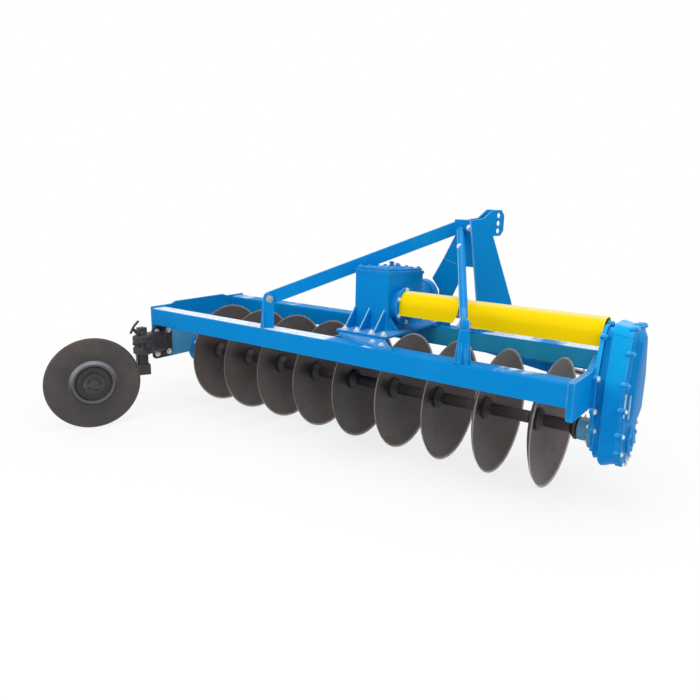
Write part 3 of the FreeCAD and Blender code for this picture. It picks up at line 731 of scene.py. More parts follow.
# %% Left end plate
HANGER, FOOT_DROP, CORNER_CUT = 97.0, 17.0, 17.0
BROW, BROW_SLOPE, BROW_RISE = 140.0, 30.0, 10.0
left_low, left_high = span("left_end_plate")
foot, brow = GANG_Z - FOOT_DROP, BEAM_TOP + BROW_RISE
hanger_half = math.sqrt(HANGER ** 2 - FOOT_DROP ** 2)
left_ring = outline([
    (CORNER_CUT, foot), (MID_Y - hanger_half, foot), (MID_Y + hanger_half, foot),
    (FRAME_DEPTH - CORNER_CUT, foot), (FRAME_DEPTH, foot + CORNER_CUT), (FRAME_DEPTH, brow),
    (FRAME_DEPTH - BROW, brow), (FRAME_DEPTH - BROW - BROW_SLOPE, left_high[2]),
    (BROW + BROW_SLOPE, left_high[2]), (BROW, brow), (0, brow), (0, foot + CORNER_CUT),
], {1: (MID_Y, GANG_Z - HANGER)})
left_thick = left_high[0] - left_low[0]
piece("left_end_plate_cut", [slab(left_ring, left_thick, (left_low[0], 0, 0), *SIDE)],
      END_PAINT, "left_end_plate")
tell("left end plate")

# %% Tail mount: its plate and the upright shank
MOUNT_THICK, MOUNT_CORNER = 12.0, 24.0
MOUNT_REAR, MOUNT_FRONT, MOUNT_LOW, MOUNT_TOP = -14, 121, 268, 450
mount_ring = box_ring(MOUNT_REAR, MOUNT_LOW, MOUNT_FRONT, MOUNT_TOP, corner=MOUNT_CORNER)
piece("tail_mount_plate_cut", [slab(mount_ring, MOUNT_THICK, ORIGIN, *SIDE)], TAIL_DARK,
      "tail_mount_plate")

SHANK_TOP, SHANK_CORNER = 470.0, 5.0
shank_low, shank_high = span("tail_shank")
shank_x, shank_y = (float(value) for value in middle("tail_shank")[:2])
shank_half = float(shank_high[0] - shank_low[0]) / 2
shank_ring = box_ring(shank_x - shank_half, shank_y - shank_half,
                      shank_x + shank_half, shank_y + shank_half, corner=SHANK_CORNER)
piece("tail_shank_bar", [slab(shank_ring, SHANK_TOP - shank_low[2], (0, 0, shank_low[2]), *LEVEL)],
      TAIL_DARK, "tail_shank")
tell("tail mount")

# %% Cast clamp round the shank
CLAMP_FOOT, CLAMP_WALL, CLAMP_CORNER = 318.0, 18.0, 14.0
CLAMP_TOP = CLAMP_FOOT + 110.0
CLAMP_STATIONS = [(0, -9), (8, 0), (36, 1), (48, -5), (64, -5), (76, 1), (102, 0), (110, -9)]


def clamp_ring(grow):
    """Clamp seen from above: a round box about the shank that necks down to its foot."""
    outer = shank_half + CLAMP_WALL + grow
    left, right = shank_x - outer, shank_x + outer
    rear, front = shank_y - outer, shank_y + outer
    foot_front = 84 + grow
    neck = [(right, front - 6), (56 + grow, front + 26), (50 + grow, 40), (14, foot_front),
            (1, foot_front), (1, front + 14)]
    return outline([(left, rear), (right, rear), *neck, (left, front)], corner=CLAMP_CORNER)


clamp = casting([(lift, clamp_ring(grow)) for lift, grow in CLAMP_STATIONS],
                (0, 0, CLAMP_FOOT), *LEVEL)
piece("tail_clamp_casting", [clamp], TAIL_DARK, "tail_clamp")
tell("tail clamp")

# %% [markdown]
# ## Drive case
#
# The case that takes the drive down to the gang is the machine's showpiece: a cast box
# with a round sump, flanks that draw in towards the cover, a narrower head and a ring of
# bolt bosses.  Its outline is one formula of an inset and a sump radius, so the casting is
# that outline carried to the right while both numbers change, with short stations where
# the real casting has its fillets.

# %% Case outlines
CASE_HALF, CASE_HEAD, CASE_SUMP = 120.0, 84.0, 130.0
CASE_TOP, CASE_SHOULDER = DRIVE_Z + 54.0, DRIVE_Z - 158.0
HEAD_CORNER = 40.0
HEAD_NEAR = HEAD_CORNER * (1 - math.sqrt(0.5))
DOME_RISE = 72.0


def headed_ring(draw_in, low, bottom):
    """Straight flanks, leaning head with two round corners, and an arc down to `bottom`."""
    side, head, top = CASE_HALF - draw_in, CASE_HEAD - draw_in, CASE_TOP - draw_in
    flat = [(-side, low), (side, low), (side, CASE_SHOULDER), (head, top - HEAD_CORNER),
            (head - HEAD_CORNER, top), (HEAD_CORNER - head, top), (-head, top - HEAD_CORNER),
            (-side, CASE_SHOULDER)]
    round_y, round_z = head - HEAD_NEAR, top - HEAD_NEAR
    bulges = {0: (MID_Y, bottom), 3: (MID_Y + round_y, round_z), 5: (MID_Y - round_y, round_z)}
    return outline([(MID_Y + y, z) for y, z in flat], bulges, steps=8)


def case_ring(draw_in, sump):
    """Case: its sump is an arc about the gang's line, met by the flanks at its chord."""
    half_chord = CASE_HALF - draw_in
    low = math.sqrt(max(sump ** 2 - half_chord ** 2, 0.0))
    return headed_ring(draw_in, GANG_Z - low, GANG_Z - sump)


def dome_ring(draw_in):
    """Dome on the cover: the same head, ending in a shallow bowl above the bearing cap."""
    low = GANG_Z + DOME_RISE + draw_in
    return headed_ring(draw_in, low, low - (CASE_HALF - draw_in) / 2)


print("case:", round(2 * CASE_HALF), "mm wide,", round(CASE_TOP - GANG_Z + CASE_SUMP), "mm high")

# %% Case flange and the places of its bolts
FLANGE_HALF, FLANGE_WAIST, FLANGE_TOP = 124.0, GANG_Z + 120, CASE_TOP - 16
FOOT_HALF, FOOT_Z, FOOT_BOTTOM = 58.0, GANG_Z - 55, GANG_Z - 80


def mirrored(places):
    """Places to both sides of the gang's line; one in the middle stays single."""
    return [(MID_Y + sign * y, z) for y, z in places for sign in ((-1, 1) if y else (1,))]


flange_side = [(FOOT_HALF, FOOT_Z), (FLANGE_HALF, FLANGE_WAIST), (FLANGE_HALF, CASE_SHOULDER),
               (CASE_HEAD, FLANGE_TOP - HEAD_CORNER), (CASE_HEAD - HEAD_CORNER, FLANGE_TOP)]
flange_ring = outline(
    [(MID_Y + y, z) for y, z in flange_side] + [(MID_Y - y, z) for y, z in reversed(flange_side)],
    {9: (MID_Y, FOOT_BOTTOM)})
flange_bolts = mirrored([
    (FLANGE_HALF, CASE_SHOULDER), (FLANGE_HALF, FLANGE_WAIST),
    ((FLANGE_HALF + FOOT_HALF) / 2, (FLANGE_WAIST + FOOT_Z) / 2), (FOOT_HALF, FOOT_Z),
    (CASE_HEAD, DRIVE_Z), (0, FLANGE_TOP)])
print("flange bolts:", len(flange_bolts))

# %% Bolts round the cover's rim
RIM_DRAW, RIM_SUMP = 11.0, 107.0
flank_rise = CASE_SHOULDER - GANG_Z
rim_bolts = mirrored(
    [(CASE_HALF - RIM_DRAW, GANG_Z + flank_rise * share) for share in (0.15, 0.55, 0.95)]
    + [(RIM_SUMP * math.cos(angle), GANG_Z + RIM_SUMP * math.sin(angle))
       for angle in (math.radians(340), math.radians(300))]
    + [(0, GANG_Z - RIM_SUMP), (85, DRIVE_Z - 54), (58.4, CASE_TOP - 16.5),
       (0, CASE_TOP - RIM_DRAW)])
print("rim bolts:", len(rim_bolts))

# %% Cast the flange and the body
FLANGE_END = CASE_X + 16.0
BODY_X = FLANGE_END + 24.0
CASE_END = float(solid_bounds[1][0] - ZERO[0]) * 1000.0
RIM_X, FACE_X = CASE_END - 32.0, CASE_END - 20.0
BOSS, BOSS_LONG = 11.0, 14.0
BODY_DRAW = CASE_SUMP - RIM_SUMP


def boss(y, z, start, end):
    """Round boss with a rounded edge."""
    long = end - start
    return lathe([(BOSS - 1, 0), (BOSS, 1), (BOSS, long - 2), (BOSS - 2, long)], (start, y, z), X,
                 sides=16)


neck = [(lift, case_ring(pull, CASE_SUMP - pull))
        for lift, pull in ((0, 24), (5, 27), (20, 27), (25, 24))]
piece("drive_case_flange_casting",
      [slab(flange_ring, FLANGE_END - CASE_X, (CASE_X, 0, 0), *SIDE)]
      + [boss(y, z, CASE_X, FLANGE_END + 2) for y, z in flange_bolts]
      + [casting(neck, (FLANGE_END, 0, 0), *SIDE)], CASE_PAINT, "drive_case_flange")

# A station is a place along the body, a fillet's pull and the share of the whole draft.
depth = RIM_X - BODY_X
stations = [(0, 9, 0.0), (2, 4, 0.0), (7, 0.8, 0.02), (14, 0.6, 0.1), (depth - 16, 0, 0.92),
            (depth - 10, 0, 1.0), (depth - 8, -2, 1.0), (depth - 1, -2.5, 1.0), (depth, -1.5, 1.0)]
body = [(lift, case_ring(RIM_DRAW * share + pull, CASE_SUMP - BODY_DRAW * share - pull))
        for lift, pull, share in stations]
piece("drive_case_body_casting",
      [casting(body, (BODY_X, 0, 0), *SIDE)]
      + [boss(y, z, RIM_X - BOSS_LONG, RIM_X) for y, z in rim_bolts],
      CASE_PAINT, "drive_case_body")
tell("case flange and body")

# %% Cover with its dome and bearing cap, and the two pads painted pale as a reflection
DOME_X = FACE_X - 0.5
CAP_PROFILE = [(60, 0), (58, 3), (58, 12), (54, 14), (31, 14.5), (29, 16), (28, 19), (25, 20)]
PAD_LOW, PAD_TOP = 392, 488
cover = [(lift, case_ring(RIM_DRAW + pull, RIM_SUMP - pull))
         for lift, pull in ((0, -1.5), (1, -2.5), (9, -2), (12, 2))]
dome = [(lift, dome_ring(pull)) for lift, pull in ((0, 20), (2, 24), (12, 34), (17, 41), (20, 49))]
piece("drive_case_cover_casting",
      [casting(cover, (RIM_X, 0, 0), *SIDE)]
      + [boss(y, z, RIM_X, FACE_X + 1) for y, z in rim_bolts]
      + [casting(dome, (DOME_X, 0, 0), *SIDE),
         lathe(CAP_PROFILE, (DOME_X, MID_Y, GANG_Z), X, sides=32)], COVER_PAINT, "drive_case_cover")
flank = MID_Y - CASE_HALF + RIM_DRAW
# Two raised pads on the rim, painted pale as a painted reflection.
piece("case_rim_pads", [
    slab(box_ring(x, PAD_LOW - 6 * step, x + 6 - step, PAD_TOP - 8 * step, corner=2), 5 + 3 * step,
         (0, flank + 2 + 22 * step, 0), *REAR)
    for step, x in enumerate((RIM_X + 4, FACE_X + 5))], PAINTED_REFLECTION_CASTING)
tell("case cover")

# %% [markdown]
# ## Gearbox
#
# The gearbox is a tall cast box on a bolted foot, ribbed at the back where the foot
# sticks out, with a round snout for the input shaft and a turned flange where the cross
# shaft leaves.  It could be one sculpted mesh, but the real casting is plates and barrels
# run together, so joined skins that sink a little into each other look right.

# %% Gearbox sizes
box_low, box_high = span("gearbox_cover")
GEAR_X = float(box_low[0] + box_high[0]) / 2
GEAR_LEFT, GEAR_RIGHT = GEAR_X - 102.0, GEAR_X + 90.0
GEAR_NEAR, GEAR_FAR = float(box_low[1]) - 4, float(box_high[1]) + 4
GEAR_TOP = float(box_low[2])
CRADLE_THICK = 12.0
CRADLE_TOP = BEAM_TOP + CRADLE_THICK
FOOT_TOP = CRADLE_TOP + 12.0
FOOT_LEFT, FOOT_RIGHT = GEAR_X - 118, GEAR_X + 163
FOOT_NEAR, FOOT_FAR = 134.0, FRAME_DEPTH - 70
LIFT_ALL, LIFT_REAR = 2.0, 22.0
TRUNK_HIGH = GEAR_TOP - FOOT_TOP


def raised(shapes):
    """Tilt the box's top: points rise by their height over the foot and their way to the rear."""
    tilted = []
    for points, faces in shapes:
        height = np.clip((points[:, 2] - FOOT_TOP) / TRUNK_HIGH, 0.0, 1.0)
        rear = np.clip((GEAR_FAR - points[:, 1]) / (GEAR_FAR - GEAR_NEAR), 0.0, 1.0)
        lifted = points.copy()
        lifted[:, 2] += height * (LIFT_ALL + LIFT_REAR * rear)
        tilted.append((lifted, faces))
    return tilted


def gear_ring(pull, deep=0.0, corner=16):
    """The box from above, drawn in by `pull` all round and by `deep` more front and rear."""
    return box_ring(GEAR_LEFT + pull, GEAR_NEAR + pull + deep,
                    GEAR_RIGHT - pull, GEAR_FAR - pull - deep, corner=corner)


print("gearbox:", round(GEAR_RIGHT - GEAR_LEFT), "x", round(GEAR_FAR - GEAR_NEAR), "mm")

# %% Cradle and ribs
CRADLE_HALF, CRADLE_REAR = 88.0, 10.0
WING_LEFT, WING_RIGHT, CRADLE_KINK = GEAR_X + 175, GEAR_X + 269, 117.0
cradle_left, cradle_right, cradle_far = GEAR_X - CRADLE_HALF, GEAR_X + CRADLE_HALF, FRAME_DEPTH - 2
cradle_ring = outline([
    (cradle_left, cradle_far), (cradle_left, CRADLE_KINK), (WING_LEFT, CRADLE_REAR),
    (WING_RIGHT, CRADLE_REAR), (FOOT_RIGHT, FOOT_NEAR), (cradle_right, FOOT_NEAR),
    (cradle_right, cradle_far)])
piece("gearbox_cradle_plate", [slab(cradle_ring, CRADLE_THICK, (0, 0, BEAM_TOP), *LEVEL)], PAINT,
      "gearbox_cradle")

RIB_THICK, RIB_STEP, RIB_CHAMFER = 9.0, 83.0, 2.5
# The ribs' slanted faces, turned along RIB_LEAN, carry a painted highlight in pale blue.
RIB_LEAN = (0.0, -0.75, 0.66)
RIB_PAINT = sprayed_paint("rib_paint", BLUE, WORN_BLUE, from_srgb(176, 220, 242), sky_sheen=0.1,
                          glint=RIB_LEAN, spread=0.9)
rib_ring = outline([(GEAR_NEAR + 60, FOOT_TOP - 2), (GEAR_NEAR + 60, FOOT_TOP + 98),
                    (GEAR_NEAR, FOOT_TOP + 98), (GEAR_NEAR - 84, FOOT_TOP + 4),
                    (GEAR_NEAR - 84, FOOT_TOP - 2)])
piece("gearbox_foot_ribs", [
    slab(rib_ring, RIB_THICK, (GEAR_LEFT + 2 + RIB_STEP * index, 0, 0), *SIDE, chamfer=RIB_CHAMFER)
    for index in range(3)], RIB_PAINT)
tell("cradle and ribs")

# %% Housing: foot, trunk, side rib and snout
FOOT_CORNER, SNOUT_LONG = 8.0, 186.0
SNOUT_Y = GEAR_FAR - 8
SNOUT_END = GEAR_FAR + SNOUT_LONG
SNOUT_PROFILE = [(80, 0), (76, 6), (74, 14), (74, 126), (78, 130), (83, 134), (83, 183), (80, 186),
                 (56, 186), (54, 183), (30, 183), (29, 186), (25, 186), (24, 178)]
TRUNK = [(0, -12), (4, -9), (14, -4), (34, -1), (60, 0), (TRUNK_HIGH - 16, 0),
         (TRUNK_HIGH - 12, -4), (TRUNK_HIGH, -4)]
foot_plate = slab(box_ring(FOOT_LEFT, FOOT_NEAR, FOOT_RIGHT, FOOT_FAR, corner=FOOT_CORNER),
                  FOOT_TOP - CRADLE_TOP, (0, 0, CRADLE_TOP), *LEVEL)
trunk = casting([(lift, gear_ring(pull)) for lift, pull in TRUNK], (0, 0, FOOT_TOP - 1), *LEVEL)
side_rib_ring = outline([(GEAR_RIGHT - 20, FOOT_TOP - 2), (GEAR_RIGHT + 46, FOOT_TOP - 2),
                         (GEAR_RIGHT + 46, FOOT_TOP + 4), (GEAR_RIGHT - 2, FOOT_TOP + 60),
                         (GEAR_RIGHT - 20, FOOT_TOP + 60)])
side_rib = slab(side_rib_ring, RIB_THICK, (0, GEAR_NEAR + 30, 0), *REAR, chamfer=RIB_CHAMFER)
snout = lathe(SNOUT_PROFILE, (GEAR_X, SNOUT_Y, DRIVE_Z), Y, sides=40)
piece("gearbox_housing_casting", [foot_plate, *raised([trunk]), side_rib, snout], PAINT,
      "gearbox_housing")
tell("housing")

# %% Cover, output flange and splined input shaft
PAD_DEEP, PAD_CORNER = 6.0, 20.0
OUTPUT_END = GEAR_RIGHT + 42
OUTPUT_PROFILE = [(74, -2), (70, 4), (68, 10), (68, 31), (86, 31), (88, 33), (88, 40), (86, 42),
                  (40, 42)]
SPLINE_PROFILE = [(18, 0), (20, 1), (20, 54), (17.5, 55, 0), (17.5, 57, 1), (17.5, 100, 1),
                  (15.5, 102, 0), (15.5, 112, 0), (17.5, 114, 1), (17.5, 141, 1), (15, 144, 0)]
lid = casting([(lift, gear_ring(pull)) for lift, pull in ((0, 4), (10, 4), (12, 6))],
              (0, 0, GEAR_TOP), *LEVEL)
pad = casting([(lift, gear_ring(pull, PAD_DEEP, PAD_CORNER))
               for lift, pull in ((0, 34), (3, 36), (4, 40))], (0, 0, GEAR_TOP + 11.5), *LEVEL)
piece("gearbox_cover_casting", raised([lid, pad]), PAINT, "gearbox_cover")
piece("gearbox_output_flange",
      [lathe(OUTPUT_PROFILE, (GEAR_RIGHT, MID_Y, DRIVE_Z), X, sides=40)], PAINT,
      "gearbox_output_boss")
piece("pto_splined_shaft",
      [lathe(SPLINE_PROFILE, (GEAR_X, SNOUT_END - 50, DRIVE_Z), Y, sides=48, lobes=6)],
      BRIGHT, "pto_shaft", body="pto_drive")
tell("gearbox")

# %% [markdown]
# ## Shaft guards
#
# Two arched sheets cover the cross shaft, each with a slanted end where the mast's leg
# stands between them.  A sheet arch is a closed outline, an outer arc and an inner one,
# carried along the shaft; its end slants because the last ring's place depends on height.

# %% Guards
GUARD, GUARD_WALL, SKIRT = 64.0, 4.0, 45.0
INSIDE = GUARD - GUARD_WALL
arch = outline([(GUARD, -SKIRT), (GUARD, 0), (-GUARD, 0), (-GUARD, -SKIRT), (-INSIDE, -SKIRT),
                (-INSIDE, 0), (INSIDE, 0), (INSIDE, -SKIRT)],
               {1: (0, GUARD), 5: (0, INSIDE)}, steps=8)


def guard_shape(start, end, start_cut, end_cut, lift=0.0):
    """Arch from start to end, lifted over the shaft; a cut of (run, rise) slants an end."""
    rows = []
    for place, (run, rise), sign in ((start, start_cut, 1), (end, end_cut, -1)):
        low = np.clip(1 - (arch[:, 1] + SKIRT) / rise, 0.0, 1.0)
        x = place + sign * run * low
        rows.append(np.stack([x, MID_Y + arch[:, 0], DRIVE_Z + lift + arch[:, 1]], axis=1))
    share = np.linspace(0.0, 1.0, 9)[:, None, None]
    return skin(rows[0] * (1 - share) + rows[1] * share)


NO_CUT, LEFT_CUT, RIGHT_CUT = (0.0, 1.0), (22.0, 44.0), (52.0, 104.0)
LEFT_GUARD_END, RIGHT_GUARD_START, LEFT_GUARD_LIFT = 1733.0, 1745.0, 9.0
piece("guard_left_sheet",
      [guard_shape(OUTPUT_END, LEFT_GUARD_END, NO_CUT, LEFT_CUT, LEFT_GUARD_LIFT)],
      YELLOW_PAINT, "guard_left")
piece("guard_right_sheet", [guard_shape(RIGHT_GUARD_START, CASE_X, RIGHT_CUT, NO_CUT)],
      YELLOW_PAINT, "guard_right")
tell("guards")

# %% [markdown]
# ## Headstock
#
# The mast turns the frame's slant back to the tractor's line of pull, so its two lug
# plates stand along the pull while its rear plate and leg stand flat along the beam.
# Working in the pull's own directions keeps every outline a plain side view.

# %% The pull's own directions
PULL_ANGLE = math.radians(24.0)
TRAVEL = np.array([math.sin(PULL_ANGLE), math.cos(PULL_ANGLE), 0.0])
ACROSS = np.array([math.cos(PULL_ANGLE), -math.sin(PULL_ANGLE), 0.0])
PULL_SIDE = (TRAVEL, UP)
HITCH = np.array([1630.9, FRAME_DEPTH - 54.6, 0.0])
# The mast's plates get a painted highlight on faces turned to the rear of the pull, and the brace
# tube gets one on its left side, along LIMB.
LIMB = (-0.81, -0.58, 0.0)
MAST_PAINT = sprayed_paint("mast_paint", *PLAIN_PAINT, sky_sheen=0.1, glint=tuple(-TRAVEL))
TUBE_PAINT = sprayed_paint("brace_tube_paint", *PLAIN_PAINT, sky_sheen=0.1, glint=LIMB, spread=0.86)


def pulled(across, travel, height=0.0):
    """Place at a way across the pull, along it and up from the hitch."""
    return HITCH + ACROSS * across + TRAVEL * travel + UP * height


print("line of pull turned by", round(math.degrees(PULL_ANGLE)), "degrees")

# %% Two lug plates with the top link's holes
BASE_TOP = BEAM_TOP + 14.0
MAST_TOP, MAST_THICK = 1091.0, 12.0
RIGHT_OFFSET, LEFT_OFFSET = 25.0, -37.0
LINK, LINK_LOW, LINK_STEP, LINK_HOLE = 102.0, 1041.0, 36.5, 12.9
LUG_NOSE, LUG_CORNER, LUG_RISE = LINK + 32, LINK + 13, 26


def lug(slope):
    """Top-link lug from its throat over its nose to the foot of its rear slope."""
    high = LINK_LOW + 2 * LINK_STEP
    return [(LINK - 30, LINK_LOW - 24), (LUG_CORNER, LINK_LOW - 24), (LUG_NOSE, LINK_LOW),
            (LUG_NOSE, high), (LUG_CORNER, high + LUG_RISE), (slope + 54, high + LUG_RISE),
            (slope, high - 14)]


link_holes = [circle(LINK, LINK_LOW + LINK_STEP * step, LINK_HOLE) for step in range(3)]
right_lug = outline([(22, BASE_TOP), (250, BASE_TOP), (250, BASE_TOP + 32), (223, 687), *lug(6),
                     (-72, MAST_TOP)])
left_lug = outline([(-24, 880), (134.7, 880), *lug(28), (-24, 1095)])
for side, ring, offset in (("right", right_lug, RIGHT_OFFSET), ("left", left_lug, LEFT_OFFSET)):
    plate = slab(ring, MAST_THICK, pulled(offset, 0), *PULL_SIDE, holes=link_holes)
    piece("mast_plate_%s_cut" % side, [plate], MAST_PAINT, "mast_plate_" + side)
tell("lug plates")

# %% Rear plate, leg, base and front web
MAST_FRONT = FRAME_DEPTH - 58.0
MAST_REAR = MAST_FRONT - MAST_THICK
SEAM_LOW, SEAM_HIGH = (1565, 867), (1464, 895)
LEG_LEFT, LEG_RIGHT = 1450, 1520
BASE_LEFT, BASE_RIGHT, BASE_REAR, BASE_FRONT = -49, 49, -20, 262
WEB_REAR, WEB_FOOT = 250, 450
rear_ring = outline([SEAM_HIGH, SEAM_LOW, (1658, 867), (1658, MAST_TOP), (1516, MAST_TOP),
                     (1522, 1012)])
leg_ring = outline([(LEG_LEFT, BEAM_TOP), (LEG_RIGHT, BEAM_TOP), (LEG_RIGHT, 709), (1549, 773),
                    SEAM_LOW, SEAM_HIGH, (1408, 795), (LEG_LEFT, 741)])
for name, ring, node in (("mast_rear_plate_cut", rear_ring, "mast_rear_plate"),
                         ("mast_leg_cut", leg_ring, "mast_leg")):
    piece(name, [slab(ring, MAST_THICK, (0, MAST_FRONT, 0), *REAR)], MAST_PAINT, node)
base_ring = box_ring(BASE_LEFT, BASE_REAR, BASE_RIGHT, BASE_FRONT, corner=6)
piece("mast_base_plate",
      [slab(base_ring, BASE_TOP - BEAM_TOP, pulled(0, 0, BEAM_TOP), ACROSS, TRAVEL)], PAINT,
      "mast_base")
web_ring = box_ring(WEB_REAR, WEB_FOOT, BASE_FRONT, BEAM_TOP)
piece("mast_front_web", [slab(web_ring, 2 * -LEFT_OFFSET, pulled(LEFT_OFFSET, 0), *PULL_SIDE)],
      MAST_PAINT, "mast_front_block")
tell("headstock")

# %% [markdown]
# ## Braces
#
# Two braces run from the mast's head down to clevis brackets on the rear beam, one a flat
# bar and one a tube with a flattened eye.  Each is built along its own line, and the end
# that meets the mast stops just inside the rear plate.

# %% Sizes of a brace, and the line it runs along
PIN_RISE, EAR_HALF, EAR_THICK = 144.0, 30.0, 10.0
EAR_REAR, EAR_FRONT = -46, 20
BAR_THICK, BAR_HALF, TUBE_RADIUS = 16.0, 31.0, 18.0
EYE_LONG, NECK_LONG = 58, 96
TUBE_NECK = [(9, 47), (14, 54), (17, 66), (TUBE_RADIUS, 84)]
HEAD_Z, HEAD_SUNK = 1044.0, 5        # a brace ends that deep inside the rear plate
PIN_RADIUS, PIN_PAST, PIN_EDGE = 10.0, 9.0, 2.0
COTTER, COTTER_HALF, COTTER_OUT = 2.6, 21.0, 5.5
WEB_THICK, WEB_HALF = 8, 35
WASHER = [(17, 0), (17, 3), (12, 3)]
EAR_START = BAR_THICK / 2 + 0.5
EAR_END = EAR_START + EAR_THICK
BRACES = {"left": (845.0, 1512.0), "right": (1886.0, 1551.0)}
EAR = outline([(EAR_REAR, 0), (EAR_FRONT, 0), (EAR_FRONT, PIN_RISE), (-EAR_HALF, PIN_RISE)],
              {2: (-5, PIN_RISE + EAR_HALF - 2)})
WEB = outline([(-WEB_HALF, 0), (WEB_HALF, 0), (EAR_END, PIN_RISE - 8), (-EAR_END, PIN_RISE - 8)])


def brace_line(side):
    """Bracket's base, pin, head, and the directions level with the beam and out to the side."""
    x, head_x = BRACES[side]
    base = np.array([x, BEAM_SIDE / 2, BEAM_TOP])
    pin, head = base + UP * PIN_RISE, np.array([head_x, MAST_REAR, HEAD_Z])
    level = (head - pin) * (1, 1, 0)
    level /= np.linalg.norm(level)
    return base, pin, head, level, np.cross(level, UP)


for side in BRACES:
    _, pin, head, _, _ = brace_line(side)
    print(side, "brace:", round(float(np.linalg.norm(head - pin))), "mm")


# %% Bracket, pin and bar
def brace(side):
    """Bracket of two round-topped ears and a flared web, pin with washers and cotter, and bar."""
    base, foot, head, level, out = brace_line(side)
    along = (head - foot) / np.linalg.norm(head - foot)
    over = np.cross(out, along)
    ears = [slab(EAR, EAR_THICK, base + out * start, level, UP) for start in (EAR_START, -EAR_END)]
    ears.append(slab(WEB, WEB_THICK, base - level * (EAR_HALF - 1), out, UP))
    piece("brace_bracket_%s_welded" % side, ears, PAINT, "brace_bracket_" + side)

    end = EAR_END + PIN_PAST
    tip = PIN_RADIUS - PIN_EDGE
    rows = [(tip, 0), (PIN_RADIUS, PIN_EDGE), (PIN_RADIUS, 2 * end - PIN_EDGE), (tip, 2 * end)]
    pin = [lathe(rows, foot - out * end, out, sides=20)]
    pin += [lathe(WASHER, foot + out * sign * EAR_END, out * sign, sides=20) for sign in (-1, 1)]
    pin.append(lathe([(COTTER, 0), (COTTER, 2 * COTTER_HALF)],
                     foot + out * (EAR_END + COTTER_OUT) - over * COTTER_HALF, over, sides=8))
    piece("brace_pin_%s_turned" % side, pin, BRIGHT, "brace_pin_" + side)

    def stop(rise):
        """Length along the brace, at a rise over its middle line, that ends in the rear plate."""
        return (head[1] + HEAD_SUNK - foot[1] - over[1] * rise) / along[1]

    side_place = foot - out * BAR_THICK / 2
    if side == "left":
        flat = outline([(0, -BAR_HALF), (stop(-BAR_HALF), -BAR_HALF), (stop(BAR_HALF), BAR_HALF),
                        (0, BAR_HALF)], {3: (-BAR_HALF, 0)})
        bar, finish = [slab(flat, BAR_THICK, side_place, along, over)], PAINT
    else:
        eye = outline([(0, -BAR_HALF), (EYE_LONG, -BAR_HALF), (NECK_LONG, -TUBE_RADIUS),
                       (NECK_LONG, TUBE_RADIUS), (EYE_LONG, BAR_HALF), (0, BAR_HALF)],
                      {5: (-BAR_HALF, 0)})
        tube = [*TUBE_NECK, (TUBE_RADIUS, stop(-TUBE_RADIUS) - 6)]
        bar = [slab(eye, BAR_THICK, side_place, along, over), lathe(tube, foot, along, sides=28)]
        finish = TUBE_PAINT
    piece("brace_%s_bar" % side, bar, finish, "brace_" + side)


for side in BRACES:
    brace(side)
tell("braces")

# %% [markdown]
# ## Bolts
#
# Every bolt is the same turned part: a washer, a hexagon head with a rounded crown and,
# where the thread shows, a short stud.  Modelling one and repeating it by a formula keeps
# a hundred bolts light, and each is turned by its own random angle as a spanner leaves it.

# %% One bolt, many places
random_turn = np.random.default_rng(7)
HEXAGON_STEP = math.pi / 3


def bolt_profile(size, stud=0.0, washer=True):
    """Rows of radius, height and share of hexagon for a bolt of a nominal size."""
    lift = 0.16 * size if washer else 0.0
    rows = [(0.8 * size, 0.0, 1)]
    if washer:
        rows = [(1.2 * size, 0.0), (1.2 * size, lift * 0.8), (1.12 * size, lift)]
    rows += [(0.8 * size, lift, 1), (0.8 * size, lift + 0.5 * size, 1)]
    rows += [(0.7 * size, lift + 0.62 * size, 0)]
    if stud:
        rows += [(0.5 * size, lift + 0.63 * size), (0.5 * size, lift + stud - 1.5),
                 (0.38 * size, lift + stud)]
    return rows


def bolts(places, along, size, stud=0.0, washer=True):
    """Bolts at places, all facing one way, each turned by its own angle about its axis."""
    shapes = []
    for place in places:
        points, faces = lathe(bolt_profile(size, stud, washer), ORIGIN, along, sides=12)
        angle = random_turn.uniform(0.0, HEXAGON_STEP)
        turn = np.array(Matrix.Rotation(angle, 3, Vector(along)))
        shapes.append((points @ turn.T + np.array(place, float), faces))
    return shapes


def around(centre, radius, count, first, second, start=0.0):
    """Places evenly round a circle in the plane of two directions."""
    angle = np.radians(start) + np.arange(count) * 2 * math.pi / count
    return (np.array(centre, float) + radius * (np.cos(angle)[:, None] * np.array(first)
                                                + np.sin(angle)[:, None] * np.array(second)))


print("rows of a bolt with a stud:", len(bolt_profile(12, stud=15)))

# %% Bolts on the gearbox
foot_places = [(FOOT_LEFT + 38 + shift, y, FOOT_TOP) for y in (FOOT_NEAR + 24, FOOT_FAR - 22)
               for shift in (0, 68, 150, 216)]
piece("gearbox_foot_bolts", bolts(foot_places, UP, size=15, stud=16), ZINC)
wing_places = [(GEAR_X + 205, 36, CRADLE_TOP), (GEAR_X + 138, 66, CRADLE_TOP)]
piece("cradle_bolts", bolts(wing_places, UP, size=12), ZINC)

lid_top = GEAR_TOP + 12
lid_places = [(x, y, lid_top) for x in (GEAR_LEFT + 20, GEAR_RIGHT - 20)
              for y in np.linspace(GEAR_NEAR + 22, GEAR_FAR - 22, 5)]
lid_places += [(GEAR_X, y, lid_top) for y in (GEAR_NEAR + 20, GEAR_FAR - 20)]
piece("gearbox_cover_bolts", raised(bolts(lid_places, UP, size=10)))
output_places = around((OUTPUT_END, MID_Y, DRIVE_Z), 76, 6, Y, UP, start=30)
piece("output_flange_bolts", bolts(output_places, X, size=10), ZINC)
snout_places = around((GEAR_X, SNOUT_END - 8, DRIVE_Z), 69, 6, X, UP)
piece("snout_flange_bolts", bolts(snout_places, Y, size=9))
tell("gearbox bolts")

# %% Bolts on the drive case
RIM_SPLIT = CASE_SHOULDER - 40


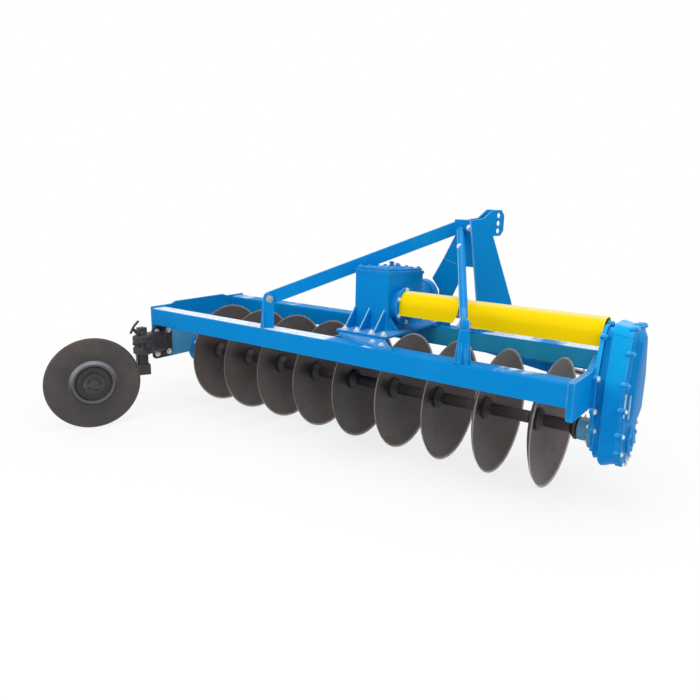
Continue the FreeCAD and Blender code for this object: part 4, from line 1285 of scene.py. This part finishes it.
def parted(places, low, high):
    """Places whose height lies between two values, and then the others."""
    between = [place for place in places if low < place[2] <= high]
    return between, [place for place in places if place not in between]


zinc_heads, painted_heads = parted([(FLANGE_END + 2, y, z) for y, z in flange_bolts],
                                   GANG_Z, CASE_SHOULDER)
piece("case_flange_bolts", bolts(zinc_heads, X, size=11), ZINC)
piece("case_flange_painted_bolts", bolts(painted_heads, X, size=11), CASE_PAINT)
zinc_heads, painted_heads = parted([(FACE_X + 1, y, z) for y, z in rim_bolts], 0, RIM_SPLIT)
piece("case_cover_bolts", bolts(zinc_heads, X, size=8), ZINC)
piece("case_head_bolts", bolts(painted_heads, X, size=8), CASE_PAINT)
cap_places = around((FACE_X + 13.5, MID_Y, GANG_Z), 44, 6, Y, UP, start=30)
piece("bearing_cap_bolts", bolts(cap_places, X, size=7), CASE_PAINT)
nut_places = [(RIM_X - BOSS_LONG, y, z) for y, z in rim_bolts]
piece("case_rim_nuts", bolts(nut_places, -X, size=8, washer=False), CASE_PAINT)
tell("case bolts")

# %% Bolts on the bearings and the tail mount
def bearing_bolts(x, reach):
    """Six places round the gang's line."""
    return around((x, MID_Y, GANG_Z), reach, 6, Y, UP, start=30)


def half_depth(node):
    """Half of a node's depth."""
    low, high = span(node)
    return float(high[1] - low[1]) / 2


FLANGE_FACE = 14                     # place of the left bearing's flange, its right face
FLANGE_THICK = 16                    # thickness of the right bearing's flange
LEFT_MARGIN, RIGHT_MARGIN = 15, 11   # from a flange's rim in to its bolts
bearing_reach = half_depth("left_gang_bearing") - LEFT_MARGIN
piece("left_bearing_bolts", bolts(bearing_bolts(FLANGE_FACE, bearing_reach), X, size=11, stud=13)
      + bolts(bearing_bolts(left_low[0], bearing_reach), -X, size=11), ZINC)
collar_x = span("right_gang_bearing")[1][0] - FLANGE_THICK
collar_reach = half_depth("right_gang_bearing") - RIGHT_MARGIN
piece("right_bearing_bolts", bolts(bearing_bolts(collar_x, collar_reach), -X, size=9), ZINC)
mount_bolts = [(y, z) for y in (14, 95) for z in (296, 422)]
piece("tail_mount_bolts",
      bolts([(MOUNT_THICK, y, z) for y, z in mount_bolts], X, size=15, stud=17)
      + bolts([(left_low[0], y, z) for y, z in mount_bolts], -X, size=15), ZINC)
tell("bearing bolts")

# %% Bolts on the headstock and the right end plate
HEAD_BOLT = (1598, MAST_REAR, 1052)
STAY_SHARE, STAY_OUT = 0.79, 15      # along the right brace from pin to head, and out of it
piece("mast_head_bolts", bolts([HEAD_BOLT], -Y, size=14, stud=15), ZINC)
stay_foot, stay_head = brace_line("right")[1:3]
stay_place = stay_foot + (stay_head - stay_foot) * STAY_SHARE - Y * STAY_OUT
piece("brace_stay_bolt", bolts([stay_place], -Y, size=13, stud=14), ZINC)
base_places = [pulled(across, travel, BASE_TOP)
               for across, travel in ((-36, 2), (-36, 60), (46, 2))]
piece("mast_base_bolts", bolts(base_places, UP, size=11), ZINC)
end_places = [(PLATE_X, y, CASE_SHOULDER - 60) for y in (140, 570)]
piece("right_plate_bolts", bolts(end_places, -X, size=12), ZINC)
tell("plate bolts")

# %% [markdown]
# ## Small fittings
#
# A breather and plugs on the castings, grease nipples on the bearings, linch pins through
# the hitch pins, and the tail clamp's pinch bolt and tommy-bar screw.  Each is a turned
# part or a bent rod, and a bent rod is a circle carried along a curve.

# %% Bent rods
def rod(path, radius, sides=8):
    """Round rod along a path: rings square to the path's direction, with rounded ends."""
    path = np.array(path, float)
    run = np.gradient(path, axis=0)
    run /= np.linalg.norm(run, axis=1)[:, None]
    aside = np.cross(run, np.where(np.abs(run[:, 2:]) < 0.9, UP, X))
    aside /= np.linalg.norm(aside, axis=1)[:, None]
    over = np.cross(run, aside)
    angle = np.arange(sides) * 2 * math.pi / sides
    size = np.full(len(path), float(radius))
    size[[0, -1]] *= 0.6
    rings = path[:, None] + size[:, None, None] * (np.cos(angle)[None, :, None] * aside[:, None]
                                                   + np.sin(angle)[None, :, None] * over[:, None])
    return skin(rings)


def curve(points, steps=10):
    """Smooth path: a quadratic curve from middle to middle of the runs between the points."""
    points = np.array(points, float)
    halfway = (points[1:] + points[:-1]) / 2
    share = np.linspace(0.0, 1.0, steps, endpoint=False)[:, None]
    rows = [points[:1]]
    for first, corner, last in zip(halfway[:-1], points[1:-1], halfway[1:]):
        rows.append((1 - share) ** 2 * first + 2 * share * (1 - share) * corner + share ** 2 * last)
    return np.concatenate(rows + [halfway[-1:], points[-1:]])


hook = curve([(0, 0, 0), (50, 0, 0), (50, 50, 0), (0, 50, 0)])
print("a hook from four points:", len(hook), "points")


# %% Breather, plugs and nipples
BREATHER = [(13, 0, 1), (13, 7, 1), (7, 8), (7, 11), (12, 13), (13, 16), (12, 21), (6, 24)]
FILLER = [(14, 0), (14, 3), (10, 4, 1), (10, 12, 1), (7, 14)]
LEVEL_PLUG = [(16, 0), (16, 3), (11, 4, 1), (11, 13, 1), (8, 15)]
PLUG = [(13, 0), (13, 3), (9, 4, 1), (9, 12, 1), (7, 14)]
NIPPLE = [(5, 0, 1), (5, 4, 1), (2.6, 5), (2.6, 9), (3.6, 10), (3.4, 13), (1.5, 14)]


def turned(fittings, along):
    """Turned parts, each a profile and a place, all facing one way."""
    return [lathe(profile, place, along, sides=12) for profile, place in fittings]


NIPPLE_LEFT, NIPPLE_RIGHT, BARREL_RADIUS = 46, 2306, 49
on_lid = GEAR_TOP + 14
piece("gearbox_breather", raised(turned([
    (BREATHER, (GEAR_X - 30, 470, on_lid)), (FILLER, (GEAR_X - 40, 540, on_lid)),
    (LEVEL_PLUG, (GEAR_X + 40, 420, on_lid))], UP)))
piece("oil_plugs", turned([(PLUG, (GEAR_LEFT, GEAR_FAR - 90, FOOT_TOP + 90))], -X)
      + turned([(PLUG, (FACE_X - 1, MID_Y + 84, GANG_Z + 4)),
                (PLUG, (FACE_X - 1, MID_Y, GANG_Z - 84))], X), ZINC)
piece("grease_nipples",
      turned([(NIPPLE, (x, MID_Y, GANG_Z + BARREL_RADIUS)) for x in (NIPPLE_LEFT, NIPPLE_RIGHT)],
             UP), ZINC)
tell("castings' fittings")

# %% Linch pins
LINCH_REACH, LINCH_HALF, LINCH_RADIUS = 42, 26, 4.5
RING_RADIUS, RING_DROP, WIRE_RADIUS = 17, 15, 2.4
ring_turn = np.linspace(0.0, 1.75 * math.pi, 22)[:, None]
ring_path = RING_RADIUS * (np.cos(ring_turn) * ACROSS + np.sin(ring_turn) * UP)
linch = []
for side, sign in (("left", -1), ("right", 1)):
    tip = middle("hitch_pin_" + side) + ACROSS * sign * LINCH_REACH
    rises = np.linspace(-LINCH_HALF, LINCH_HALF, 7)
    linch.append(rod([tip + UP * rise for rise in rises], LINCH_RADIUS))
    linch.append(rod(tip - UP * RING_DROP + ring_path, WIRE_RADIUS))
piece("hitch_linch_pins", linch, ZINC)
tell("fittings")

# %% Tail clamp's pinch bolt and tommy-bar screw, and a bright rod for a painted highlight
SCREW_RADIUS, TOMMY_RADIUS = 9, 6.5
clamp_x = shank_x + 6
screw_foot = np.array([clamp_x, shank_y - 18, CLAMP_TOP - 4])
bar_low, bar_high = np.array([clamp_x, -178.0, 455.0]), np.array([clamp_x, -132.0, 506.0])
screw_head = bar_low * 0.7 + bar_high * 0.3
screw_path = [screw_foot + (screw_head - screw_foot) * share for share in np.linspace(0, 1.08, 6)]
tommy_bar = curve([bar_low + (0, -6, -8), bar_low, (bar_low + bar_high) / 2 + (0, -5, 4), bar_high,
                   bar_high + (0, 5, 4)])
# A bright steel rod stands beside the shank where there is only a glint: a painted highlight.
glint_rod = [([(5, 0), (6, 1), (6, 84), (5, 85)], (shank_x - 21, shank_y - shank_half - 5, 264))]
piece("tail_glint_rod", turned(glint_rod, UP), BRIGHT)
piece("tail_clamp_screw", [
    rod(screw_path, SCREW_RADIUS, sides=12), rod(tommy_bar, TOMMY_RADIUS, sides=12),
    *bolts([(clamp_x, shank_y - shank_half - 17, 389)], -Y, size=20, stud=22),
    *bolts([(clamp_x + 34, shank_y + 6, 372)], X, size=16)], TAIL_DARK)
tell("clamp's screw")

# %% Tail hub bolts, which turn with the disc
HUB_CAP = [(30, -2), (28, 6), (22, 12), (12, 16), (5, 17)]
HUB_BOLTS, HUB_RIM = 0.72, 0.9       # shares of the hub's radius
hub_vertices = frame["nodes"]["tail_hub"].data.vertices
tail_centre = (np.array(tail_joint["pos_m"]) - ZERO) * 1000.0
hub_reach = (np.array([tuple(vertex.co) for vertex in hub_vertices]) - ZERO) * 1000.0 - tail_centre
hub_along = hub_reach @ tail_axis
hub_wide = np.linalg.norm(hub_reach - hub_along[:, None] * tail_axis, axis=1)
hub_radius = float(hub_wide.max())
hub_face = tail_centre + tail_axis * float(hub_along[hub_wide > HUB_RIM * hub_radius].max())
hub_places = around(hub_face, HUB_BOLTS * hub_radius, 5, np.cross(UP, tail_axis), UP)
piece("tail_hub_bolts", bolts(hub_places, tail_axis, size=8, stud=8)
      + [lathe(HUB_CAP, hub_face, tail_axis)], TAIL_DARK, body="tail_wheel")
tell("tail fittings")

# %% [markdown]
# ## Weld beads
#
# A fabricated frame shows its welds as ripples laid in every inner corner.  A bead is a
# thin rod along the corner whose radius is a wave of the length run, half sunk into both
# plates so only its crest shows.

# %% One bead
def bead(corners, radius=4.0, ripple=7.0, closed=False):
    """Rod along a polyline; its radius waves once every `ripple` of its length."""
    corners = np.array(corners, float)
    if closed:
        corners = np.concatenate([corners, corners[:1]])
    lengths = np.linalg.norm(np.diff(corners, axis=0), axis=1)
    total = np.concatenate([[0.0], np.cumsum(lengths)])
    run = np.linspace(0.0, total[-1], max(int(total[-1] / ripple * 3), 4))
    path = np.stack([np.interp(run, total, corners[:, axis]) for axis in range(3)], axis=1)
    points, faces = rod(path, radius, sides=6)
    rings = points.reshape(len(path), -1, 3)
    wave = 1 + 0.16 * np.cos(2 * math.pi * run / ripple)
    rings = path[:, None] + (rings - path[:, None]) * wave[:, None, None]
    return rings.reshape(-1, 3), faces


def beam_loop(x, y, corner=7.0):
    """Square path round a beam's end."""
    low, high, far = BEAM_TOP - BEAM_SIDE, BEAM_TOP, y + BEAM_SIDE
    return [(x, y + corner, low), (x, far - corner, low), (x, far, low + corner),
            (x, far, high - corner), (x, far - corner, high), (x, y + corner, high),
            (x, y, high - corner), (x, y, low + corner)]


print("a bead of 100 mm:", len(bead([(0, 0, 0), (100, 0, 0)])[0]), "points")

# %% Beads on the frame and the tail mount
WIDE, WIDEST, NARROW = 4.5, 5.0, 3.5
front_y = FRAME_DEPTH - BEAM_SIDE
beads = [bead(beam_loop(x, y), WIDE, closed=True) for x in (0.5, PLATE_X - 0.5)
         for y in (0.0, front_y)]
beads.append(bead([(LEG_LEFT, MAST_REAR, BEAM_TOP), (LEG_RIGHT, MAST_REAR, BEAM_TOP)], WIDE))
beads.append(bead([pulled(across, travel, BEAM_TOP) for across, travel in
                   ((BASE_LEFT, 50), (BASE_LEFT, BASE_REAR), (BASE_RIGHT, BASE_REAR),
                    (BASE_RIGHT, 30))], WIDE))
beads += [bead([pulled(across, travel, BASE_TOP) for travel in (24, 248)])
          for across in (RIGHT_OFFSET, RIGHT_OFFSET + MAST_THICK)]
beads.append(bead([(SEAM_LOW[0], MAST_REAR, SEAM_LOW[1] + 1),
                   (SEAM_HIGH[0], MAST_REAR, SEAM_HIGH[1])]))
beads.append(bead([pulled(RIGHT_OFFSET, -14, height) for height in (872, 1088)]))
beads.append(bead([(cradle_left, CRADLE_KINK, BEAM_TOP + 2), (WING_LEFT, CRADLE_REAR, BEAM_TOP + 2),
                   (WING_RIGHT, CRADLE_REAR, BEAM_TOP + 2)], WIDEST))
beads.append(bead([(cradle_left, BEAM_SIDE, BEAM_TOP),
                   (cradle_left, CRADLE_KINK - 1, BEAM_TOP - 2)]))
for side in BRACES:
    base, _, _, level, out = brace_line(side)
    beads.append(bead([base - level * (EAR_HALF - 1) + out * sign * (WEB_HALF - 1)
                       for sign in (-1, 1)]))
    beads += [bead([base + out * sign * (EAR_END + 0.5) + level * end
                    for end in (EAR_REAR + 8, EAR_FRONT - 2)]) for sign in (-1, 1)]
piece("frame_welds", beads, WELD_BLUE)
piece("tail_welds", [bead([(MOUNT_THICK, -4, height), (MOUNT_THICK, front, height)], NARROW)
                     for height, front in ((320, 50), (426, 70))], TAIL_DARK)
triangles = sum(len(face.vertices) - 2 for thing in made for face in thing.data.polygons)
print("pieces:", len(made), "triangles:", triangles)

# %% [markdown]
# ## Floor and light
#
# A pale floor that turns white for the eye, yet still takes the machine's shadow: most of
# what a camera or a mirror sees of it is plain white light, the rest is a white surface
# under the lamps.  Three large soft lamps and a pale sky give every colour about the value
# it is written with.

# %% White for the eye, plain light for the plough
WHITE, OFF_WHITE = (1.0, 1.0, 1.0), (0.95, 0.95, 0.95)


def seen_white(shop):
    """1 for what the eye sees straight, in a mirror or through glass, 0 for the light it gives."""
    straight, shiny, through = (shop.node("ShaderNodeLightPath", out=name) for name in
                                ("Is Camera Ray", "Is Glossy Ray", "Is Transmission Ray"))
    return straight.maths("MAXIMUM", straight.maths("MAXIMUM", straight, shiny), through)


print("white of the sheet:", OFF_WHITE[0], "to", WHITE[0])

# %% Floor
SHEET_WHITE = 0.78                   # share of plain white light near the machine
NEAR, FAR = 1.5, 3.4                 # metres between which the floor turns wholly white
FLOOR_HALF, FLOOR_DROP = 20.0, 0.0005
floor_height = float(solid_bounds[0][2]) - FLOOR_DROP
floor_mesh = bpy.data.meshes.new("studio_floor")
floor_mesh.from_pydata([(x * FLOOR_HALF, y * FLOOR_HALF, floor_height)
                        for x, y in ((-1, -1), (1, -1), (1, 1), (-1, 1))], [], [(0, 1, 2, 3)])
floor = bpy.data.objects.new("studio_floor", floor_mesh)
bpy.context.scene.collection.objects.link(floor)
paper = Surface("studio_paper")
paper.finish(paper.mix(paper.noise(3.0) * 0.03, WHITE, OFF_WHITE), 0.9, gloss=0.0)
away = paper.vectors("LENGTH", paper.place, out="Value").step(NEAR, FAR)
white_share = seen_white(paper) * (SHEET_WHITE + away * (1.0 - SHEET_WHITE))
surface = Field(paper, paper.shader.outputs[0])
white_light = paper.node("ShaderNodeEmission", Color=WHITE, Strength=1.0)
blend = paper.node("ShaderNodeMixShader", None, white_share, surface, white_light)
paper.feed(paper.tree.nodes["Material Output"].inputs["Surface"], blend)
floor_mesh.materials.append(paper.material)
print("floor of", round(2 * FLOOR_HALF), "m at", round(floor_height, 4), "m")

# %% Sky
SKY_LIGHT = 0.7                      # strength of the sky on the machine; the eye sees 1
world = bpy.data.worlds.new("studio_world")
bpy.context.scene.world = world
world.use_nodes = True
sky = Shop(world.node_tree)
backdrop = world.node_tree.nodes["Background"]
sky.feed(backdrop.inputs["Color"], WHITE)
sky.feed(backdrop.inputs["Strength"], SKY_LIGHT + seen_white(sky) * (1.0 - SKY_LIGHT))
print("sky of", SKY_LIGHT, "on the machine")


# %% Lamps
def softbox(name, place, target, size, power):
    """Square area lamp at a place, aimed at a target."""
    data = bpy.data.lights.new(name, "AREA")
    data.shape = "SQUARE"
    data.size = size
    data.energy = power
    back = np.array(place, float) - np.array(target, float)
    back /= np.linalg.norm(back)
    side = np.cross(UP, back) + np.array([0.0, 1e-6, 0.0])
    side /= np.linalg.norm(side)
    lamp = bpy.data.objects.new(name, data)
    lamp.matrix_world = as_matrix(side, np.cross(back, side), back, place)
    bpy.context.scene.collection.objects.link(lamp)


softbox("lamp_over", (0.4, -0.6, 4.2), (0.0, 0.0, 0.4), size=3.0, power=52.0)
softbox("lamp_rear", (-0.8, -4.2, 2.6), (0.0, 0.0, 0.5), size=2.6, power=31.0)
softbox("lamp_right", (4.4, -0.6, 2.6), (0.0, 0.0, 0.5), size=2.2, power=24.0)
print("lamps:", ", ".join(light.name for light in bpy.data.lights))
